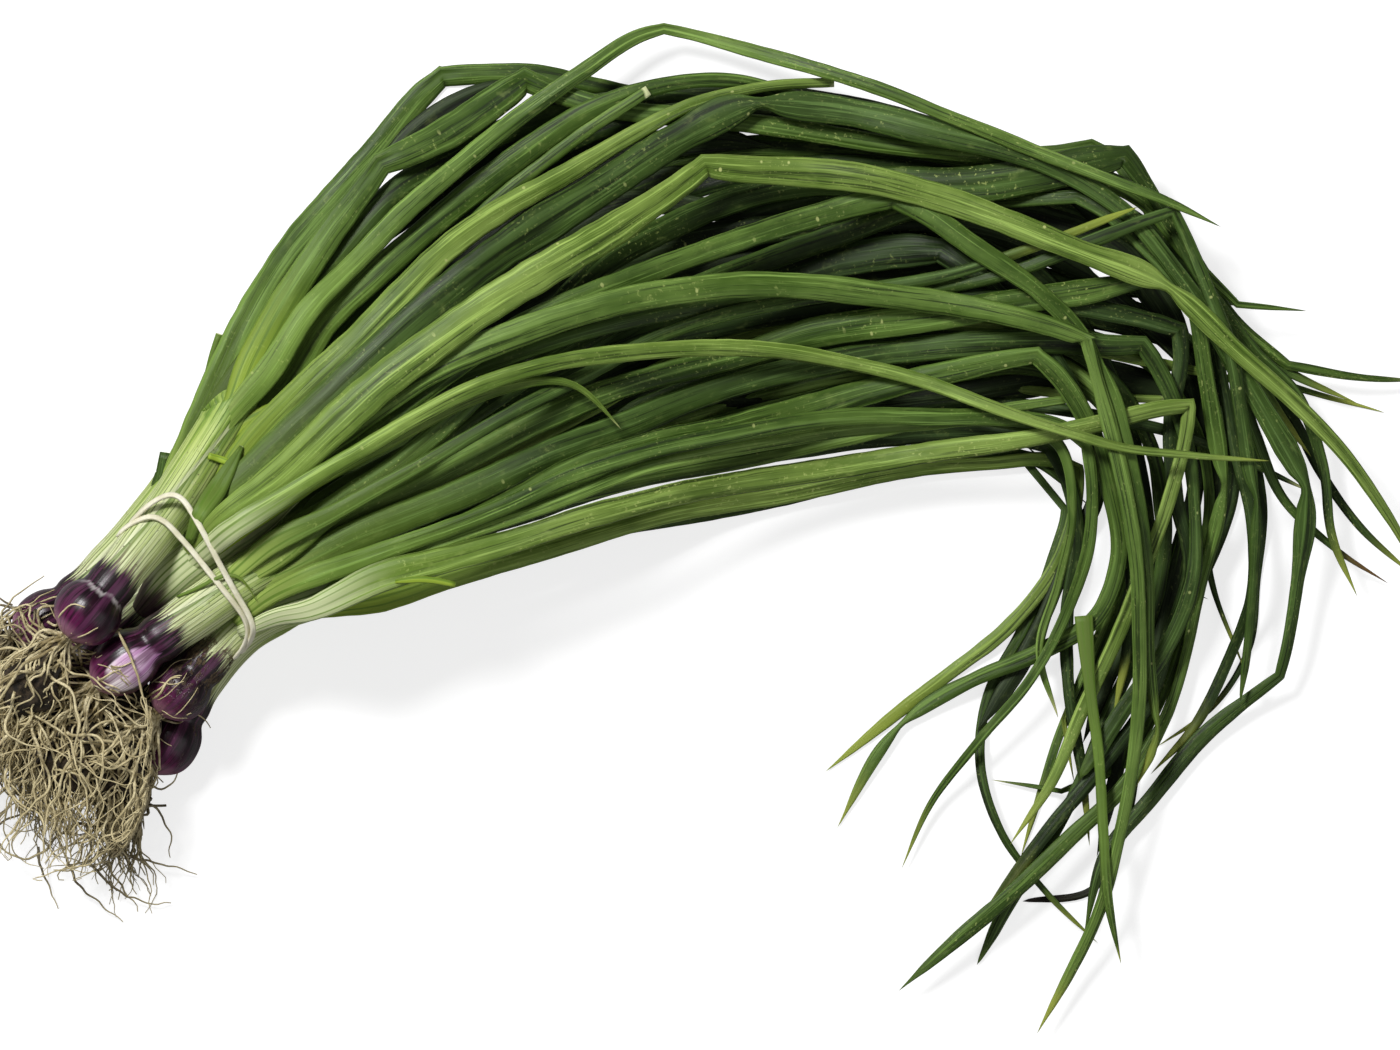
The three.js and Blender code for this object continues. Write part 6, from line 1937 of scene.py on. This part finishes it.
TRIMS = (
    Trim("under_a", UNDER,
         path=((-140, 40, 4, 5, 1), (-115, 68, 4, 6, 1.2), (-90, 92, 4, 6.5, 1.2), (-70, 107, 4, 6.5, 1.2),
               (-45, 124, 4, 6, 1.2), (-20, 132, 4, 5.5, 1), (5, 136, 4, 4.5, 1), (25, 134, 4, 1, 0.5))),
    Trim("under_b", UNDER,
         path=((-75, 85, 5, 4, 1), (-50, 103, 5, 5, 1.2), (-30, 113, 5, 5, 1.2), (-8, 113, 5, 4, 1.2),
               (10, 110, 5, 3.5, 1), (30, 104, 5, 1, 0.5))),
    Trim("under_c", UNDER,
         path=((-76, 46, 4, 4, 1), (-50, 66, 4, 6, 1), (-25, 82, 4, 5, 1.2), (0, 90, 4, 5.5, 1.2),
               (25, 97, 4, 5, 1.2), (48, 92, 4, 5, 1.2), (65, 88, 4, 4.5, 1), (85, 89, 4, 4, 1),
               (106, 84, 4, 3, 1), (125, 78, 4, 2.5, 1), (140, 70, 4, 1, 0.5))),
    Trim("under_d", UNDER,
         path=((-70, 25, 4, 4, 1), (-35, 40, 4, 5, 1.2), (-16, 47, 4, 5, 1.2), (20, 45, 4, 5, 1.2),
               (60, 43, 4, 5, 1.2), (85, 45, 4, 5, 1.2), (110, 50, 4, 5.5, 1.2), (135, 54, 4, 6, 1.2),
               (152, 51, 4, 6, 1.2), (166, 46, 4, 5, 1.2), (173, 34, 4, 4, 1.2), (174, 15, 4, 3, 1),
               (169, -5, 4, 3, 1), (164, -24, 4, 1, 0.5))),
    Trim("under_e", UNDER,
         path=((80, 114, 4, 4, 1), (100, 111, 4, 5, 1.2), (120, 107.5, 4, 5.5, 1.2), (135, 103, 4, 5, 1.2),
               (147, 97, 4, 5, 1.2), (157, 84, 4, 5, 1.2), (165, 72, 4, 5, 1.2), (171, 55, 4, 3.5, 1),
               (176, 35, 4, 3, 1), (181, 15, 4, 2.5, 1), (180, -2, 4, 1, 0.5))),
    Trim("under_g", UNDER,
         path=((-114, 126, 4, 1.5, 0.8), (-101, 138, 4, 4, 1), (-89, 147, 4, 4, 1), (-75, 154, 4, 2.5, 1),
               (-62, 158, 4, 0.6, 0.5))),
    Trim("under_h", UNDER,
         path=((140, 20, 4, 2, 0.8), (138, 8, 4, 3, 1), (132.5, -3, 4, 2.6, 1), (126.5, -17, 4, 2.6, 1),
               (120.5, -31, 4, 2.6, 1), (112, -48, 4, 3.4, 1), (103.5, -62, 4, 2.6, 1),
               (97, -72, 4, 0.6, 0.5))),
    Trim("under_i", UNDER,
         path=((170, 2, 4, 2, 0.8), (166.5, -13, 4, 3.2, 1), (163, -28, 4, 3.4, 1), (160, -42, 4, 3, 1),
               (156, -56, 4, 1, 0.5))),
    Trim("under_j", UNDER,
         path=((154, -27, 4, 2, 0.8), (149, -40, 4, 3, 1), (143.5, -51, 4, 3.2, 1), (139, -63, 4, 2.6, 1),
               (134, -76, 4, 0.6, 0.5))),
    Trim("under_k", UNDER,
         path=((150, -70, 4, 1.5, 0.8), (146.5, -84, 4, 2.4, 1), (143.5, -96, 4, 2.4, 1),
               (141, -107, 4, 1.5, 0.8), (139, -116, 4, 0.5, 0.4))),
    Trim("under_l", UNDER,
         path=((-62, 121, 4, 2, 0.8), (-50, 129, 4, 4, 1), (-36, 134, 4, 4, 1), (-20, 138, 4, 0.8, 0.5))),
    Trim("under_m", UNDER,
         path=((-34, 112, 4, 2, 0.8), (-22, 118.5, 4, 4.5, 1), (-10, 122.5, 4, 4.5, 1),
               (6, 126, 4, 0.8, 0.5))),
    Trim("under_n", UNDER,
         path=((-200, -34, 5, 2, 1), (-190, -43, 7, 4, 2), (-180, -50, 7, 4, 2), (-171, -57, 5, 0.8, 0.5))),
    Trim("under_f", LeafFinish(Tone.DARK, Tip.GREEN, Base.PALE, 0.1),
         path=((-182, -18, 14, 4, 2), (-167, -9, 17, 7, 2), (-147, 6, 18, 8, 2), (-125, 19, 18, 8, 1.5),
               (-104, 31, 16, 6, 1.2), (-86, 42, 14, 2, 0.6))),
    Trim("sheath_2", SHEATH, ridges=0.1,
         path=((-195, -29, 23, 4, 3), (-188, -22, 29, 7, 5), (-179, -14, 34, 7.8, 5.5),
               (-166, -4.5, 38.5, 7.8, 5), (-151, 5, 42, 6.4, 3), (-140, 12.5, 44, 4, 1.5),
               (-129, 19.5, 44, 0.5, 0.4))),
    Trim("sheath_6a", LeafFinish(Tone.DEEP, Tip.CUT, Base.NONE, 0.2), ridges=0.2,
         path=((-196, 0, 13, 2.6, 1.2), (-191.5, 10, 15, 2.4, 0.8), (-189.6, 19, 16, 1.2, 0.4))),
    Trim("sheath_6b", LeafFinish(Tone.DEEP, Tip.CUT, Base.NONE, 0.2), ridges=0.2,
         path=((-193, 6, 14, 3, 1.2), (-188.2, 16, 17, 3, 0.8), (-186.6, 26, 18, 2.4, 0.5))),
    Trim("sheath_6c", LeafFinish(Tone.FRESH, Tip.CUT, Base.NONE, 0.2), ridges=0.2,
         path=((-189, 9, 15, 3, 1.2), (-184.8, 17, 18, 2.8, 0.8), (-181.8, 26, 19, 1.6, 0.5))),
    Trim("sheath_1", LeafFinish(Tone.DEEP, Tip.CUT, Base.GREEN, 0.3), ridges=0.2,
         path=((-177, -5, 0, 1.6, 0.8), (-172.5, 4, 0, 3, 0.9), (-166.5, 14, 0, 3.4, 0.9),
               (-161.5, 23, 0, 2, 0.7), (-159, 28, 0, 0.8, 0.5))),
    Trim("stub_a", LeafFinish(Tone.FRESH, Tip.CUT, Base.GREEN),
         path=((-173.5, 50, 12, 1.2, 1), (-170.8, 60, 15, 1.2, 0.9), (-168.3, 67.5, 16, 1.3, 0.9))),
    Trim("stub_b", LeafFinish(Tone.FRESH, Tip.CUT, Base.GREEN),
         path=((-170, 52, 12, 1.2, 1), (-166.5, 61, 15, 1.2, 0.9), (-163.6, 68.5, 16, 1.3, 0.9))),
    Trim("stub_c", LeafFinish(Tone.LIME, Tip.CUT, Base.LIME),
         path=((-170.5, 24.6, 0, 1.2, 0.7), (-167, 23.6, 0, 1.3, 0.8), (-163.5, 22.3, 0, 1.2, 0.7))),
    Trim("stub_d", LeafFinish(Tone.LIME, Tip.CUT, Base.LIME), supple=True,
         path=((-105, -18.8, 58.6, 0.7, 0.5), (-100.5, -16.8, 59.6, 1.1, 0.7), (-95, -16, 59.8, 1.2, 0.8),
               (-90, -16.8, 59.8, 1.2, 0.8), (-86.6, -18.4, 59.4, 1.1, 0.8), (-84.4, -19.9, 59, 1.1, 0.8))),
    Trim("tendril", LeafFinish(Tone.LIME, Tip.PALE, Base.GREEN), supple=True,
         path=((-181, -24, 44, 0.5, 0.4), (-176, -23.5, 47, 0.6, 0.4), (-171, -21.5, 49.5, 0.65, 0.4),
               (-167, -17.5, 50.5, 0.65, 0.4), (-164, -12.6, 50.5, 0.6, 0.4),
               (-160, -11.2, 50.5, 0.6, 0.4), (-157, -15, 50.5, 0.5, 0.4), (-155, -20, 50.3, 0.4, 0.3),
               (-153, -26, 49, 0.25, 0.25))),
)

# Leaves that the rubber band goes over, as well as the stems.
HELD = ("sheath_2_blade", "leaf_2g_blade", "leaf_4f_blade", "leaf_4g_blade")

TUFTS = (
    RootTuft(6),
    RootTuft(5, 60, 30),
    RootTuft(2, 80, 80),
    RootTuft(4, 90, 60),
    RootTuft(3, 100, 80, ceiling=0.046),
    RootTuft(1, 80, 70, ceiling=0.052),
)


def main() -> None:
    """Build the bunch and its table."""
    logging.basicConfig(level=logging.INFO, format="%(name)s %(message)s")
    Studio().build()
    onions = {onion.number: onion for onion in ONIONS}
    skins = [onion.build() for onion in ONIONS]
    leaves = [leaf.build(onions) for leaf in LEAVES]
    trees = surface_trees(skins + leaves)
    for trim in TRIMS:
        trim.lay(trees)
        leaves.append(trim.build(onions))
    for tuft in TUFTS:
        tuft.build(onions[tuft.number])
    soil_and_shade_lump("roots_soil_bed", SOIL_AND_SHADE_BED, 3.0)
    LooseRoots().build(surface_trees(skins))
    RubberBand().build(skins + [leaf for leaf in leaves if leaf.name in HELD])


if __name__ == "__main__":
    main()
